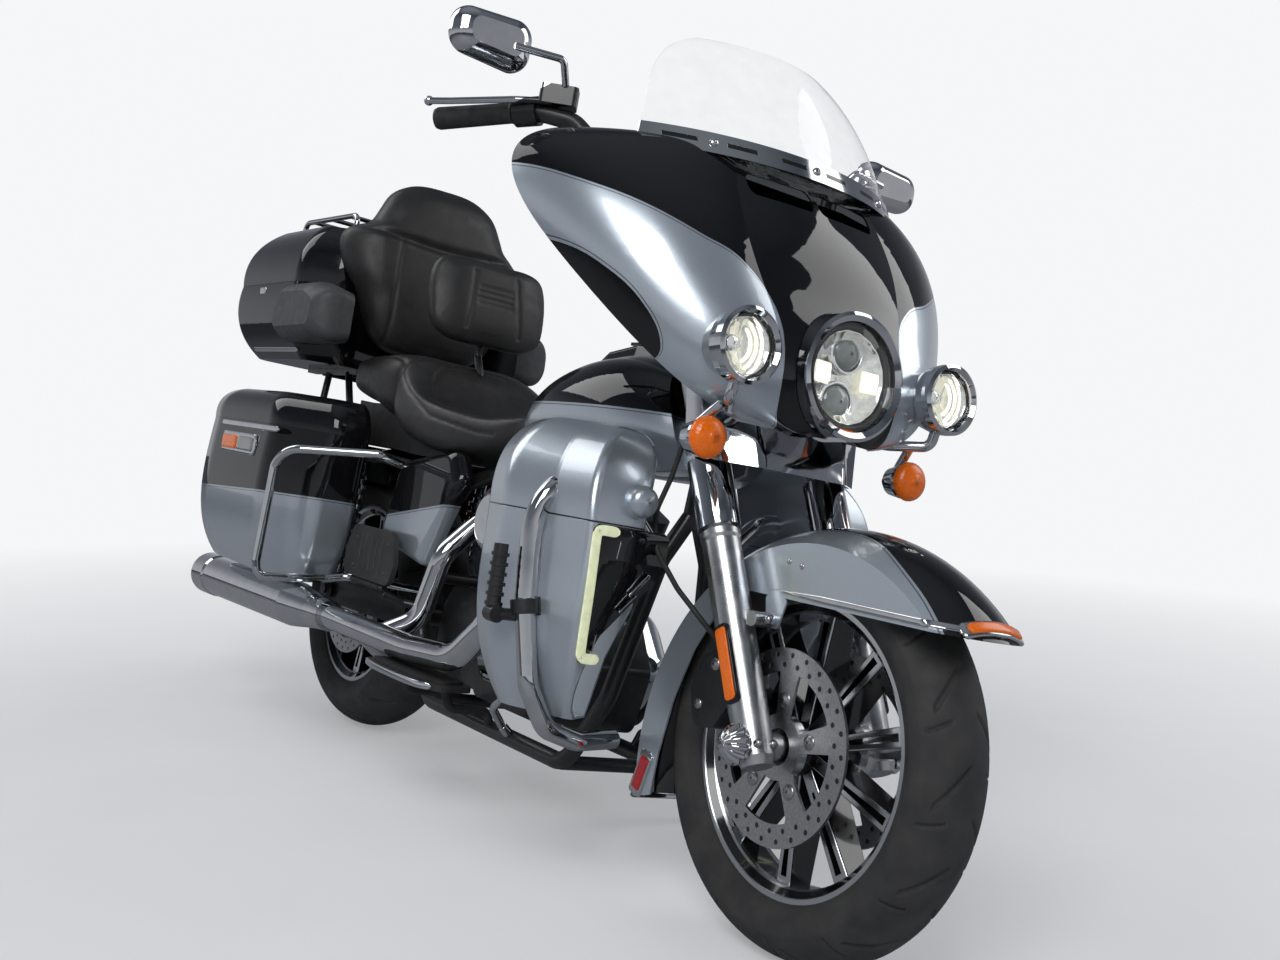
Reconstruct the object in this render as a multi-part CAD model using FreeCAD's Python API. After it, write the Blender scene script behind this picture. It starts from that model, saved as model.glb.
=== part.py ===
import FreeCAD, Part
import math
import os

# A touring cruiser motorcycle with a fork-mounted fairing, hard side bags and a top box.
# It is modelled upright in millimetres, then leaned on its side stand as the last step.
# Every point is given as side (+ to the rider's left), ahead (forward from the rear axle)
# and up (from the ground), and v() turns these into the part's axes: X left, Y back, Z up.

LEAN = 9.58
WHEELBASE = 1625.0
CLEAR = 0.3
RUNNING = 0.05
STEER_RAKE = 26.0
STEER_FOOT_AHEAD = 1798.0
FORK_RAKE = 29.25
FORK_SPREAD = 126.0

FRONT_TYRE_RADIUS = 320.0
FRONT_TYRE_HALF = 65.0
FRONT_TYRE_CROWN = 70.0
FRONT_FLANGE_RADIUS = 230.0
FRONT_RIM_HALF = 44.0
FRONT_HUB_HALF = 75.5
REAR_TYRE_RADIUS = 320.0
REAR_TYRE_HALF = 90.0
REAR_TYRE_CROWN = 100.0
REAR_FLANGE_RADIUS = 217.0
REAR_RIM_HALF = 68.0
REAR_HUB_HALF = 85.0
RIM_FLANGE_WALL = 6.0
RIM_BED_DEPTH = 13.0
AXLE_RADIUS = 12.5
SPOKES = 10
DISC_RADIUS = 150.0
DISC_WALL = 5.0

LEAN_COS = math.cos(math.radians(LEAN))
FRONT_AXLE_UP = FRONT_TYRE_RADIUS - FRONT_TYRE_CROWN + FRONT_TYRE_CROWN / LEAN_COS
REAR_AXLE_UP = REAR_TYRE_RADIUS - REAR_TYRE_CROWN + REAR_TYRE_CROWN / LEAN_COS

NODES = {}


def v(side, ahead, up):
    """Point or direction from side, ahead and up."""
    return FreeCAD.Vector(side, -ahead, up)


SIDEWAYS = v(1, 0, 0)
ORIGIN = v(0, 0, 0)
FRONT_AXLE = v(0, WHEELBASE, FRONT_AXLE_UP)
REAR_AXLE = v(0, 0, REAR_AXLE_UP)


def rounded(points, radius, closed=True):
    """Straight runs joined by tangent arcs: radius is one value, or one for each point."""
    count = len(points)
    corners = []
    for index, here in enumerate(points):
        bend = radius[index] if isinstance(radius, (list, tuple)) else radius
        at_end = not closed and index in (0, count - 1)
        if at_end or bend <= 0:
            corners.append((here, None, here))
            continue
        back = (points[index - 1] - here).normalize()
        on = (points[(index + 1) % count] - here).normalize()
        half = back.getAngle(on) / 2
        if half > math.radians(89.5):
            corners.append((here, None, here))
            continue
        setback = bend / math.tan(half)
        middle = here + (back + on).normalize() * (bend / math.sin(half) - bend)
        corners.append((here + back * setback, middle, here + on * setback))
    edges = []
    for index, (start, middle, end) in enumerate(corners):
        if middle is not None:
            edges.append(Part.Arc(start, middle, end).toShape())
        if index == count - 1 and not closed:
            break
        following = corners[(index + 1) % count][0]
        if end.distanceToPoint(following) > 0.001:
            edges.append(Part.LineSegment(end, following).toShape())
    return edges


def plan(up, outline, radius=0):
    """Level outline of (side, ahead) points."""
    return Part.Wire(rounded([v(side, ahead, up) for side, ahead in outline], radius))


def cross(ahead, outline, radius=0):
    """Upright outline of (side, up) points, seen from the front."""
    return Part.Wire(rounded([v(side, ahead, up) for side, up in outline], radius))


def flank(side, outline, radius=0):
    """Upright outline of (ahead, up) points, seen from the side."""
    return Part.Wire(rounded([v(side, ahead, up) for ahead, up in outline], radius))


def prism(wire, travel):
    """Solid swept by a flat outline along a straight travel."""
    return Part.Face(wire).extrude(travel)


def flank_plate(low, high, outline, radius=0):
    """Plate between two side values with an (ahead, up) outline."""
    return prism(flank(low, outline, radius), v(high - low, 0, 0))


def level_plate(low, high, outline, radius=0):
    """Plate between two heights with a (side, ahead) outline."""
    return prism(plan(low, outline, radius), v(0, 0, high - low))


def block(side, ahead, up):
    """Box from three (low, high) pairs."""
    corner = v(side[0], ahead[1], up[0])
    return Part.makeBox(side[1] - side[0], ahead[1] - ahead[0], up[1] - up[0], corner)


def loft(wires, ruled=False):
    """Solid through a few outlines."""
    return Part.makeLoft(wires, True, ruled)


def rod(start, end, radius):
    """Round bar between two points."""
    return Part.makeCylinder(radius, start.distanceToPoint(end), start, end - start)


def cone(start, end, start_radius, end_radius):
    """Tapered round bar between two points."""
    length = start.distanceToPoint(end)
    return Part.makeCone(start_radius, end_radius, length, start, end - start)


def tube(points, radius, bend):
    """Round bar along straight runs with tangent bends."""
    path = Part.Wire(rounded(points, bend, closed=False))
    ring = Part.Wire(Part.makeCircle(radius, points[0], points[1] - points[0]))
    return path.makePipeShell([ring], True, False)


def turned(base, direction, profile):
    """Revolved solid: profile rows are (along the axis, radius)."""
    axis = FreeCAD.Vector(direction)
    axis.normalize()
    lift = SIDEWAYS if abs(axis.dot(SIDEWAYS)) < 0.9 else v(0, 0, 1)
    lift = (lift - axis * lift.dot(axis)).normalize()
    points = [base + axis * along + lift * radius for along, radius in profile]
    face = Part.Face(Part.Wire(rounded(points, 0)))
    return face.revolve(base, axis, 360)


def fused(shapes):
    """One solid from shapes that touch or overlap."""
    shapes = list(shapes)
    return shapes[0].multiFuse(shapes[1:]).removeSplitter() if len(shapes) > 1 else shapes[0]


def mirrored(shape):
    """The same piece on the other side of the motorcycle."""
    return shape.mirror(ORIGIN, SIDEWAYS)


def both(shape):
    """A piece and its mirror image."""
    return [shape, mirrored(shape)]


def largest(shape):
    """The main solid left by a cut."""
    return max(shape.Solids, key=lambda solid: solid.Volume)


def node(name, shapes):
    """Keeps the solids of one named sub-part."""
    shapes = shapes if isinstance(shapes, (list, tuple)) else [shapes]
    NODES[name] = [solid for shape in shapes for solid in shape.Solids]


# Wheels
def tyre(centre, radius, half, crown, flange, rim_half):
    """Ring with a round crown, leaning side walls and beads inside the rim flanges."""
    shoulder = radius - crown + math.sqrt(crown ** 2 - half ** 2)
    bed = flange - RIM_BED_DEPTH + CLEAR
    bead = rim_half - RIM_FLANGE_WALL - CLEAR
    wall_foot = rim_half + 2
    lip = flange + CLEAR

    def p(side, out):
        return centre + v(side, 0, out)

    edges = [Part.LineSegment(p(-bead, bed), p(bead, bed)).toShape(),
             Part.LineSegment(p(bead, bed), p(bead, lip)).toShape(),
             Part.LineSegment(p(bead, lip), p(wall_foot, lip)).toShape(),
             Part.Arc(p(wall_foot, lip), p(half - 2, (lip + shoulder) / 2 + 2),
                      p(half, shoulder)).toShape(),
             Part.Arc(p(half, shoulder), p(0, radius), p(-half, shoulder)).toShape(),
             Part.Arc(p(-half, shoulder), p(2 - half, (lip + shoulder) / 2 + 2),
                      p(-wall_foot, lip)).toShape(),
             Part.LineSegment(p(-wall_foot, lip), p(-bead, lip)).toShape(),
             Part.LineSegment(p(-bead, lip), p(-bead, bed)).toShape()]
    return Part.Face(Part.Wire(edges)).revolve(centre, SIDEWAYS, 360)


def rim(centre, flange, rim_half, hub_half, hub_radius):
    """Barrel with two flanges, a bored hub and twin-bar spokes."""
    bed = flange - RIM_BED_DEPTH
    inner = bed - 9
    ledge = rim_half - RIM_FLANGE_WALL
    barrel = turned(centre, SIDEWAYS, [(-rim_half, flange), (-ledge, flange), (-ledge, bed),
                                       (ledge, bed), (ledge, flange), (rim_half, flange),
                                       (rim_half, flange - 8), (ledge - 8, inner),
                                       (8 - ledge, inner), (-rim_half, flange - 8)])
    waist = hub_radius * 0.7
    hub = turned(centre, SIDEWAYS, [(-hub_half, AXLE_RADIUS + RUNNING),
                                    (hub_half, AXLE_RADIUS + RUNNING), (hub_half, hub_radius),
                                    (hub_half - 12, hub_radius), (hub_half - 24, waist),
                                    (24 - hub_half, waist), (12 - hub_half, hub_radius),
                                    (-hub_half, hub_radius)])
    # Spoke sections: distance out from the axle, half width, half depth
    root = (waist - 6, 11, 34)
    tip = (inner + 3, 16, ledge - 16)

    def ring_section(out, half_width, half_depth):
        corners = [(-half_depth, -half_width), (half_depth, -half_width),
                   (half_depth, half_width), (-half_depth, half_width)]
        return Part.Wire(rounded([centre + v(s, a, out) for s, a in corners], 3))

    spoke = loft([ring_section(*root), ring_section(*tip)], ruled=True)
    slot_low = root[0] + 42
    slot_high = tip[0] - 14
    slot = loft([Part.Wire(rounded([centre + v(s, a, out) for s, a in
                                    ((-90, -w), (90, -w), (90, w), (-90, w))], 0))
                 for out, w in ((slot_low, 2.5), (slot_high, 6.5))], ruled=True)
    spoke = spoke.cut(slot)
    spokes = [spoke.rotated(centre, SIDEWAYS, 360 / SPOKES * i) for i in range(SPOKES)]
    return fused([barrel, hub] + spokes)


def disc(centre, near, far, arms, inner):
    """Brake disc: a ring on a bolted carrier with arms."""
    ring = turned(centre, SIDEWAYS, [(near, DISC_RADIUS - 36), (far, DISC_RADIUS - 36),
                                     (far, DISC_RADIUS), (near, DISC_RADIUS)])
    carrier = turned(centre, SIDEWAYS, [(near, inner), (far, inner), (far, 50), (near, 50)])
    arm = prism(Part.Wire(rounded([centre + v(near, a, up) for a, up in
                                   ((-13, 40), (13, 40), (22, 120), (-22, 120))], 0)),
                v(far - near, 0, 0))
    return fused([ring, carrier] + [arm.rotated(centre, SIDEWAYS, 360 / arms * i)
                                    for i in range(arms)])


node("front_tyre", tyre(FRONT_AXLE, FRONT_TYRE_RADIUS, FRONT_TYRE_HALF, FRONT_TYRE_CROWN,
                        FRONT_FLANGE_RADIUS, FRONT_RIM_HALF))
node("front_rim", rim(FRONT_AXLE, FRONT_FLANGE_RADIUS, FRONT_RIM_HALF, FRONT_HUB_HALF, 50))
node("front_discs", both(disc(FRONT_AXLE, FRONT_HUB_HALF, FRONT_HUB_HALF + DISC_WALL, 5, 28)))
node("rear_tyre", tyre(REAR_AXLE, REAR_TYRE_RADIUS, REAR_TYRE_HALF, REAR_TYRE_CROWN,
                       REAR_FLANGE_RADIUS, REAR_RIM_HALF))
node("rear_rim", rim(REAR_AXLE, REAR_FLANGE_RADIUS, REAR_RIM_HALF, REAR_HUB_HALF, 55))
SPROCKET_RADIUS = 108.0
BELT_WIDTH = 26.0
sprocket = turned(REAR_AXLE, SIDEWAYS, [(REAR_HUB_HALF, 30), (REAR_HUB_HALF + 10, 30),
                                        (REAR_HUB_HALF + 10, SPROCKET_RADIUS - 12),
                                        (REAR_HUB_HALF + BELT_WIDTH + 4, SPROCKET_RADIUS - 8),
                                        (REAR_HUB_HALF + BELT_WIDTH + 4, SPROCKET_RADIUS),
                                        (REAR_HUB_HALF, SPROCKET_RADIUS)])
node("rear_disc_and_sprocket",
     [sprocket, disc(REAR_AXLE, -REAR_HUB_HALF - DISC_WALL, -REAR_HUB_HALF, 5, 30)])

# Steering head and fork
STEER_TILT = math.radians(STEER_RAKE)
FORK_TILT = math.radians(FORK_RAKE)
STEER_UPWARD = v(0, -math.sin(STEER_TILT), math.cos(STEER_TILT))
FORK_UPWARD = v(0, -math.sin(FORK_TILT), math.cos(FORK_TILT))


def on_steering(up, side=0.0):
    """Point of the steering axis at a height."""
    return v(side, STEER_FOOT_AHEAD - math.tan(STEER_TILT) * up, up)


def on_fork(along, side=0.0):
    """Point of the fork line at a distance up from the front axle."""
    return FRONT_AXLE + FORK_UPWARD * along + v(side, 0, 0)


SLIDER_RADIUS = 31.0
COVER_RADIUS = 36.0
STANCHION_RADIUS = 24.5
leg = fused([turned(on_fork(0, FORK_SPREAD), FORK_UPWARD,
                    [(-34, 0), (-34, 24), (-20, 29), (60, SLIDER_RADIUS),
                     (330, SLIDER_RADIUS), (336, SLIDER_RADIUS + 2), (346, SLIDER_RADIUS + 2),
                     (346, STANCHION_RADIUS), (770, STANCHION_RADIUS), (770, 0)]),
             rod(v(98, 1576, 505), v(132, 1576, 505), 12),
             block((112, 128), (1535, 1576), (494, 516))])
axle = rod(FRONT_AXLE + v(-168, 0, 0), FRONT_AXLE + v(168, 0, 0), AXLE_RADIUS)
caps = [cone(FRONT_AXLE + v(156, 0, 0), FRONT_AXLE + v(182, 0, 0), 25, 14)]
caps += [mirrored(caps[0])]
spacer = turned(FRONT_AXLE, SIDEWAYS, [(FRONT_HUB_HALF + DISC_WALL + CLEAR, 0),
                                       (FRONT_HUB_HALF + DISC_WALL + CLEAR, 22),
                                       (104, 22), (104, 0)])
node("fork_legs", fused([leg, mirrored(leg), axle] + caps + both(spacer)))

COVER_LOW = 352.0
COVER_HIGH = 474.0
cover = turned(on_fork(0, FORK_SPREAD), FORK_UPWARD,
               [(COVER_LOW, STANCHION_RADIUS + CLEAR), (COVER_HIGH, STANCHION_RADIUS + CLEAR),
                (COVER_HIGH, COVER_RADIUS), (COVER_LOW, COVER_RADIUS)])
YOKE_LOW = 500.0
YOKE_HIGH = 742.0
YOKE_WALL = 34.0


def yoke(along):
    """Plate across both fork tubes that also holds the steering stem."""
    hole = STANCHION_RADIUS + CLEAR
    level = on_fork(along).z
    stem = on_steering(level + YOKE_WALL / 2)
    ahead_of_stem = -stem.y + 34
    behind = -on_fork(along + YOKE_WALL / 2).y - 42
    outline = [(-164, behind), (-88, behind), (-62, behind + 46), (62, behind + 46),
               (88, behind), (164, behind), (164, behind + 72), (52, ahead_of_stem),
               (-52, ahead_of_stem), (-164, behind + 72)]
    plate = level_plate(level, level + YOKE_WALL, outline,
                        [34, 16, 16, 16, 16, 34, 30, 20, 20, 30])
    for side in (-FORK_SPREAD, FORK_SPREAD):
        plate = plate.cut(rod(on_fork(along - 60, side), on_fork(along + 110, side), hole))
    return plate


STEM_RADIUS = 15.0
HEAD_RADIUS = 34.0
LOW_YOKE_UP = on_fork(YOKE_LOW).z
HIGH_YOKE_UP = on_fork(YOKE_HIGH).z
stem = rod(on_steering(LOW_YOKE_UP + 8), on_steering(HIGH_YOKE_UP + YOKE_WALL - 8), STEM_RADIUS)

# Front fender: a shell turned about a point ahead of and below the axle
FENDER_CENTRE = v(0, 1659, 263)
FENDER_RADIUS = 405.0
FENDER_HALF = 90.0
FENDER_WALL = 3.0
FENDER_FRONT_ANGLE = 41.0
FENDER_REAR_ANGLE = 196.0
SKIRT_UP = 543.0


def fender_shell(centre, radius, half, wall, low, front_angle, rear_angle):
    """Crowned channel turned about a centre between two angles above the forward line."""
    shoulder = radius - 34

    def p(side, out):
        return centre + v(side, 0, out)

    inner = half - wall
    edges = [Part.LineSegment(p(-half, low), p(-half, shoulder)).toShape(),
             Part.Arc(p(-half, shoulder), p(0, radius), p(half, shoulder)).toShape(),
             Part.LineSegment(p(half, shoulder), p(half, low)).toShape(),
             Part.LineSegment(p(half, low), p(inner, low)).toShape(),
             Part.LineSegment(p(inner, low), p(inner, shoulder - 1)).toShape(),
             Part.Arc(p(inner, shoulder - 1), p(0, radius - wall),
                      p(-inner, shoulder - 1)).toShape(),
             Part.LineSegment(p(-inner, shoulder - 1), p(-inner, low)).toShape(),
             Part.LineSegment(p(-inner, low), p(-half, low)).toShape()]
    face = Part.Face(Part.Wire(edges))
    face = face.rotated(centre, SIDEWAYS, 90 - front_angle)
    return face.revolve(centre, SIDEWAYS, front_angle - rear_angle)


fender = fender_shell(FENDER_CENTRE, FENDER_RADIUS, FENDER_HALF, FENDER_WALL, 250,
                      FENDER_FRONT_ANGLE, FENDER_REAR_ANGLE)
below_skirt = [(2200, SKIRT_UP), (1500, SKIRT_UP), (1440, 500), (1395, 430), (1362, 340),
               (1345, 240), (1338, 60), (2200, 60)]
fender = fender.cut(flank_plate(-200, 200, below_skirt, [0, 60, 60, 90, 90, 90, 0, 0]))
tab = flank_plate(FENDER_HALF - FENDER_WALL, FENDER_HALF,
                  [(1550, SKIRT_UP), (1602, SKIRT_UP), (1590, 494), (1562, 494)], 6)
spigot = rod(v(FENDER_HALF, 1576, 508), v(98 - CLEAR, 1576, 508), 9)
node("front_fender", fused([fender] + both(tab) + both(spigot)))

# Front calipers, on the rear of the fork legs
caliper = flank_plate(FRONT_HUB_HALF - 22, FRONT_HUB_HALF + DISC_WALL + 40,
                      [(1512, 320), (1560, 390), (1520, 455), (1462, 430), (1440, 375),
                       (1462, 318)], 16)
slot = turned(FRONT_AXLE, SIDEWAYS, [(FRONT_HUB_HALF - 7, 90), (FRONT_HUB_HALF + DISC_WALL + 7, 90),
                                     (FRONT_HUB_HALF + DISC_WALL + 7, DISC_RADIUS + 6),
                                     (FRONT_HUB_HALF - 7, DISC_RADIUS + 6)])
caliper = caliper.cut(slot).cut(leg)
node("brake_calipers", both(caliper))

# Headlamp, passing lamps and turn signals
HEADLAMP = v(0, 1563, 905)
HEADLAMP_RADIUS = 105.0
LENS_RADIUS = 89.0
LAMP_TILT = -4.0
LAMP_AHEAD = v(0, math.cos(math.radians(LAMP_TILT)), -math.sin(math.radians(LAMP_TILT)))
bucket = turned(HEADLAMP, LAMP_AHEAD, [(-112, 0), (-112, 40), (-80, 82), (-50, 105),
                                       (6, 104), (10, 98), (4, LENS_RADIUS),
                                       (-8, LENS_RADIUS), (-60, 70), (-96, 34), (-96, 0)])
lens = turned(HEADLAMP, LAMP_AHEAD, [(-7, 0), (-7, LENS_RADIUS - CLEAR),
                                     (-3, LENS_RADIUS - CLEAR), (4, 55), (7, 0)])
PASSING = v(219, 1568, 910)
PASSING_RADIUS = 60.0
PASSING_LENS = 48.7
can = turned(PASSING, LAMP_AHEAD, [(-78, 0), (-78, 18), (-62, 44), (-26, 58), (-10, PASSING_RADIUS),
                                   (4, PASSING_RADIUS), (8, 54), (2, PASSING_LENS),
                                   (-8, PASSING_LENS), (-50, 38), (-62, 16), (-62, 0)])
passing_lens = turned(PASSING, LAMP_AHEAD, [(-7, 0), (-7, PASSING_LENS - CLEAR),
                                            (-3, PASSING_LENS - CLEAR), (4, 30), (6, 0)])
SIGNAL = v(220, 1504, 766)
signal_can = turned(SIGNAL, LAMP_AHEAD, [(-58, 0), (-58, 8), (-40, 24), (-14, 30), (0, 30),
                                         (0, 26), (-14, 25), (-36, 18), (-36, 0)])
signal_lens = turned(SIGNAL, LAMP_AHEAD, [(-11, 0), (-11, 24.8), (0, 25.6), (6, 14), (8, 0)])
node("lamp_lenses", [lens] + both(passing_lens) + both(signal_lens))
LAMP_BAR_UP = 820.0
bar = tube([v(0, 1448, LAMP_BAR_UP), v(120, 1448, LAMP_BAR_UP), v(176, 1486, LAMP_BAR_UP),
            v(219, 1540, LAMP_BAR_UP + 8), v(219, 1546, 856)], 9, 18)
signal_stalk = rod(v(206, 1506, 822), v(219, 1474, 788), 8)
lamp_bar = fused([bar, mirrored(bar)] + both(can) + both(signal_stalk) + both(signal_can))
node("lamp_housings", [bucket, lamp_bar])

# Fairing: level outlines of three arcs. Columns: up, rear half width, rear ahead,
# shoulder half width, shoulder ahead, nose half width, nose ahead, middle ahead
FAIRING_ROWS = ((800, 120, 1470, 104, 1515, 75, 1538, 1549),
                (850, 250, 1440, 215, 1500, 118, 1540, 1556),
                (905, 310, 1385, 262, 1478, 130, 1540, 1558),
                (1022, 400, 1270, 345, 1392, 150, 1488, 1505),
                (1110, 445, 1190, 388, 1322, 165, 1438, 1462),
                (1190, 452, 1150, 388, 1272, 160, 1385, 1403),
                (1258, 340, 1180, 305, 1240, 140, 1342, 1362))
FAIRING_WALL = 4.0


def fairing_outline(row, inset, rear_extra, lift):
    """Closed level outline of one fairing row, drawn in by an inset."""
    up, rear_half, rear, shoulder_half, shoulder, nose_half, nose, middle = row
    points = [v(rear_half - inset, rear - rear_extra, up + lift),
              v(shoulder_half - inset * 0.8, shoulder - inset * 0.7, up + lift),
              v(nose_half - inset * 0.4, nose - inset, up + lift)]
    front = v(0, middle - inset, up + lift)
    left = Part.Arc(*points).toShape()
    right = Part.Arc(*[FreeCAD.Vector(-p.x, p.y, p.z) for p in reversed(points)]).toShape()
    last = FreeCAD.Vector(-points[0].x, points[0].y, points[0].z)
    start = FreeCAD.Vector(-points[2].x, points[2].y, points[2].z)
    nose_arc = Part.Arc(points[2], front, start).toShape()
    back = Part.LineSegment(last, points[0]).toShape()
    return Part.Wire([left, nose_arc, right, back])


fairing_form = loft([fairing_outline(row, 0, 0, 0) for row in FAIRING_ROWS])
inner_lifts = [-1] + [0] * (len(FAIRING_ROWS) - 2) + [-FAIRING_WALL]
fairing_hollow = loft([fairing_outline(row, FAIRING_WALL, 30, lift)
                       for row, lift in zip(FAIRING_ROWS, inner_lifts)])
shell = fairing_form.cut(fairing_hollow)
lamp_hole = rod(HEADLAMP - LAMP_AHEAD * 140, HEADLAMP + LAMP_AHEAD * 60,
                HEADLAMP_RADIUS + CLEAR)
shell = shell.cut(lamp_hole)
VENT_UP = 1200.0
VENT_HALF = 139.0
VENT_HEIGHT = 38.0
for low, high in ((-VENT_HALF, -6), (6, VENT_HALF)):
    vent = cross(1300, [(low, VENT_UP - VENT_HEIGHT / 2), (high, VENT_UP - VENT_HEIGHT / 2),
                        (high, VENT_UP + VENT_HEIGHT / 2), (low, VENT_UP + VENT_HEIGHT / 2)], 14)
    shell = shell.cut(prism(vent, v(0, 200, 0)))
shell = shell.cut(lamp_bar)
node("fairing_outer", shell)

# Dash panel rows: up, edge half width, edge ahead, middle ahead
DASH_ROWS = ((1012, 392, 1290, 1372), (1110, 440, 1200, 1330), (1190, 446, 1164, 1275),
             (1246, 350, 1192, 1240))
DASH_WALL = 10.0


def dash_outline(row):
    """Level outline of the dash panel, deepest across its flat middle."""
    up, half, edge, middle = row
    back = [(-half, edge), (-190, middle), (190, middle), (half, edge)]
    front = [(half, edge + DASH_WALL), (186, middle + DASH_WALL), (-186, middle + DASH_WALL),
             (-half, edge + DASH_WALL)]
    return plan(up, back + front)


dash = loft([dash_outline(row) for row in DASH_ROWS], ruled=True)
dash = dash.common(loft([fairing_outline(row, FAIRING_WALL + CLEAR, 30, 0)
                         for row in FAIRING_ROWS]))
node("fairing_inner", dash)

# Windshield rows: up, half width, edge ahead, middle ahead
SHIELD_ROWS = ((1244, 292, 1262, 1384), (1340, 268, 1228, 1322), (1430, 222, 1190, 1268),
               (1478, 150, 1176, 1230))
SHIELD_WALL = 4.0


def arc_band(row, wall, grow=0.0):
    """Closed level outline between two arcs bowed forward."""
    up, half, edge, middle = row
    half += grow
    front = Part.Arc(v(-half, edge + wall, up), v(0, middle + wall, up), v(half, edge + wall, up))
    rear = Part.Arc(v(half, edge, up), v(0, middle, up), v(-half, edge, up))
    return Part.Wire([front.toShape(),
                      Part.LineSegment(v(half, edge + wall, up), v(half, edge, up)).toShape(),
                      rear.toShape(),
                      Part.LineSegment(v(-half, edge, up), v(-half, edge + wall, up)).toShape()])


windshield = loft([arc_band(row, SHIELD_WALL) for row in SHIELD_ROWS]).cut(fairing_form)
node("windshield", windshield)
TRIM_ROWS = ((1238, 296, 1263 + SHIELD_WALL, 1388 + SHIELD_WALL + CLEAR),
             (1276, 288, 1252 + SHIELD_WALL, 1364 + SHIELD_WALL + CLEAR))
trim = loft([arc_band(row, 5) for row in TRIM_ROWS]).cut(fairing_form).cut(windshield)
node("windshield_trim", trim)

# Fork shroud: the chrome skirt round the lower yoke
SHROUD_LOW_UP = 738.0
shroud = loft([plan(SHROUD_LOW_UP, [(-170, 1372), (170, 1372), (172, 1420), (90, 1492),
                                    (-90, 1492), (-172, 1420)], 24),
               plan(868, [(-176, 1344), (176, 1344), (182, 1400), (100, 1446), (-100, 1446),
                          (-182, 1400)], 24)])
hollow = loft([plan(SHROUD_LOW_UP - 1, [(-166, 1240), (166, 1240), (168, 1418), (88, 1488),
                                        (-88, 1488), (-168, 1418)], 22),
               plan(869, [(-172, 1210), (172, 1210), (178, 1398), (98, 1442), (-98, 1442),
                          (-178, 1398)], 22)])
shroud = shroud.cut(hollow).cut(lamp_bar)
node("fork_shroud", [shroud] + both(cover))
lamp_arm = rod(v(60, 1338, HIGH_YOKE_UP + YOKE_WALL / 2), v(60, 1500, 938), 8).cut(bucket)
lamp_arm = min(lamp_arm.Solids, key=lambda solid: -solid.BoundBox.YMax)
shroud_lug = rod(v(140, 1386, LOW_YOKE_UP + YOKE_WALL / 2), v(176, 1386, LOW_YOKE_UP + YOKE_WALL / 2), 8)
tube_room = rod(on_fork(YOKE_LOW - 60, FORK_SPREAD), on_fork(YOKE_LOW + 110, FORK_SPREAD),
                STANCHION_RADIUS + CLEAR)
shroud_lug = min(shroud_lug.cut(shroud).Solids, key=lambda solid: solid.BoundBox.XMin)
shroud_lug = largest(shroud_lug.cut(tube_room))
node("fork_yokes", fused([yoke(YOKE_LOW), yoke(YOKE_HIGH), stem] + both(lamp_arm) + both(shroud_lug)))

# Handlebar, its clamps, grips, switch boxes, levers, reservoirs and mirrors
BAR_RADIUS = 16.0
GRIP_RADIUS = 18.5
bar_points = [v(0, 1262, 1078), v(120, 1258, 1082), v(216, 1180, 1178), v(300, 1060, 1296),
              v(345, 1010, 1306), v(372, 974, 1302)]
half_bar = tube(bar_points, BAR_RADIUS, [0, 40, 60, 50, 50, 0])
GRIP_IN = v(372, 974, 1302)
GRIP_OUT = v(466, 842, 1280)
GRIP_WAY = (GRIP_OUT - GRIP_IN).normalize()
inner_bar = rod(GRIP_IN, GRIP_OUT - GRIP_WAY * 4, 11)
risers = [fused([rod(v(side, 1262, HIGH_YOKE_UP + YOKE_WALL), v(side, 1262, 1096), 17)])
          for side in (-48, 48)]
node("handlebar", fused([half_bar, mirrored(half_bar), inner_bar, mirrored(inner_bar)] + risers))
grip = turned(GRIP_IN, GRIP_WAY, [(2, 11 + CLEAR), (158, 11 + CLEAR), (158, GRIP_RADIUS),
                                  (152, GRIP_RADIUS + 2), (8, GRIP_RADIUS),
                                  (2, GRIP_RADIUS + 3)])
node("grips", both(grip))
switch_box = turned(GRIP_IN, GRIP_WAY, [(-46, BAR_RADIUS + CLEAR), (-2, 11 + CLEAR), (-2, 26),
                                        (-46, 26)])
master = level_plate(1318, 1352, [(286, 1040), (340, 1000), (366, 1036), (312, 1078)], 8)
lever = tube([v(342, 1046, 1322), v(392, 1004, 1316), v(470, 900, 1304), v(490, 866, 1303)],
             6, 30)
ball = Part.makeSphere(9, v(492, 862, 1303))
controls = fused([switch_box, master, lever, ball]).cut(fused([half_bar, inner_bar])).cut(grip)
controls = largest(controls)
node("hand_controls", both(controls))
MIRROR = v(475, 1038, 1393)
mirror_body = loft([Part.Wire(rounded([MIRROR + v(s, a, u) for s, u in
                                       ((-w, -h), (w, -h * 0.8), (w, h * 0.8), (-w, h))], h * 0.7))
                    for a, w, h in ((-12, 76, 48), (6, 74, 46), (26, 50, 26))])
mirror_stem = tube([v(330, 1062, 1352), v(352, 1080, 1388), v(440, 1062, 1386)], 6.5, 14)
node("mirrors", both(fused([mirror_body, mirror_stem]).cut(controls)))

# Fuel tank sections: ahead, half widths low / wide / top, heights low / wide / shoulder / top
TANK_ROWS = ((770, 90, 120, 60, 712, 752, 800, 812), (860, 120, 168, 90, 708, 790, 868, 886),
             (980, 130, 180, 96, 706, 806, 908, 928), (1120, 120, 170, 90, 706, 806, 904, 924),
             (1240, 84, 122, 60, 716, 790, 868, 888), (1290, 50, 74, 42, 732, 784, 850, 864))


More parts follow.
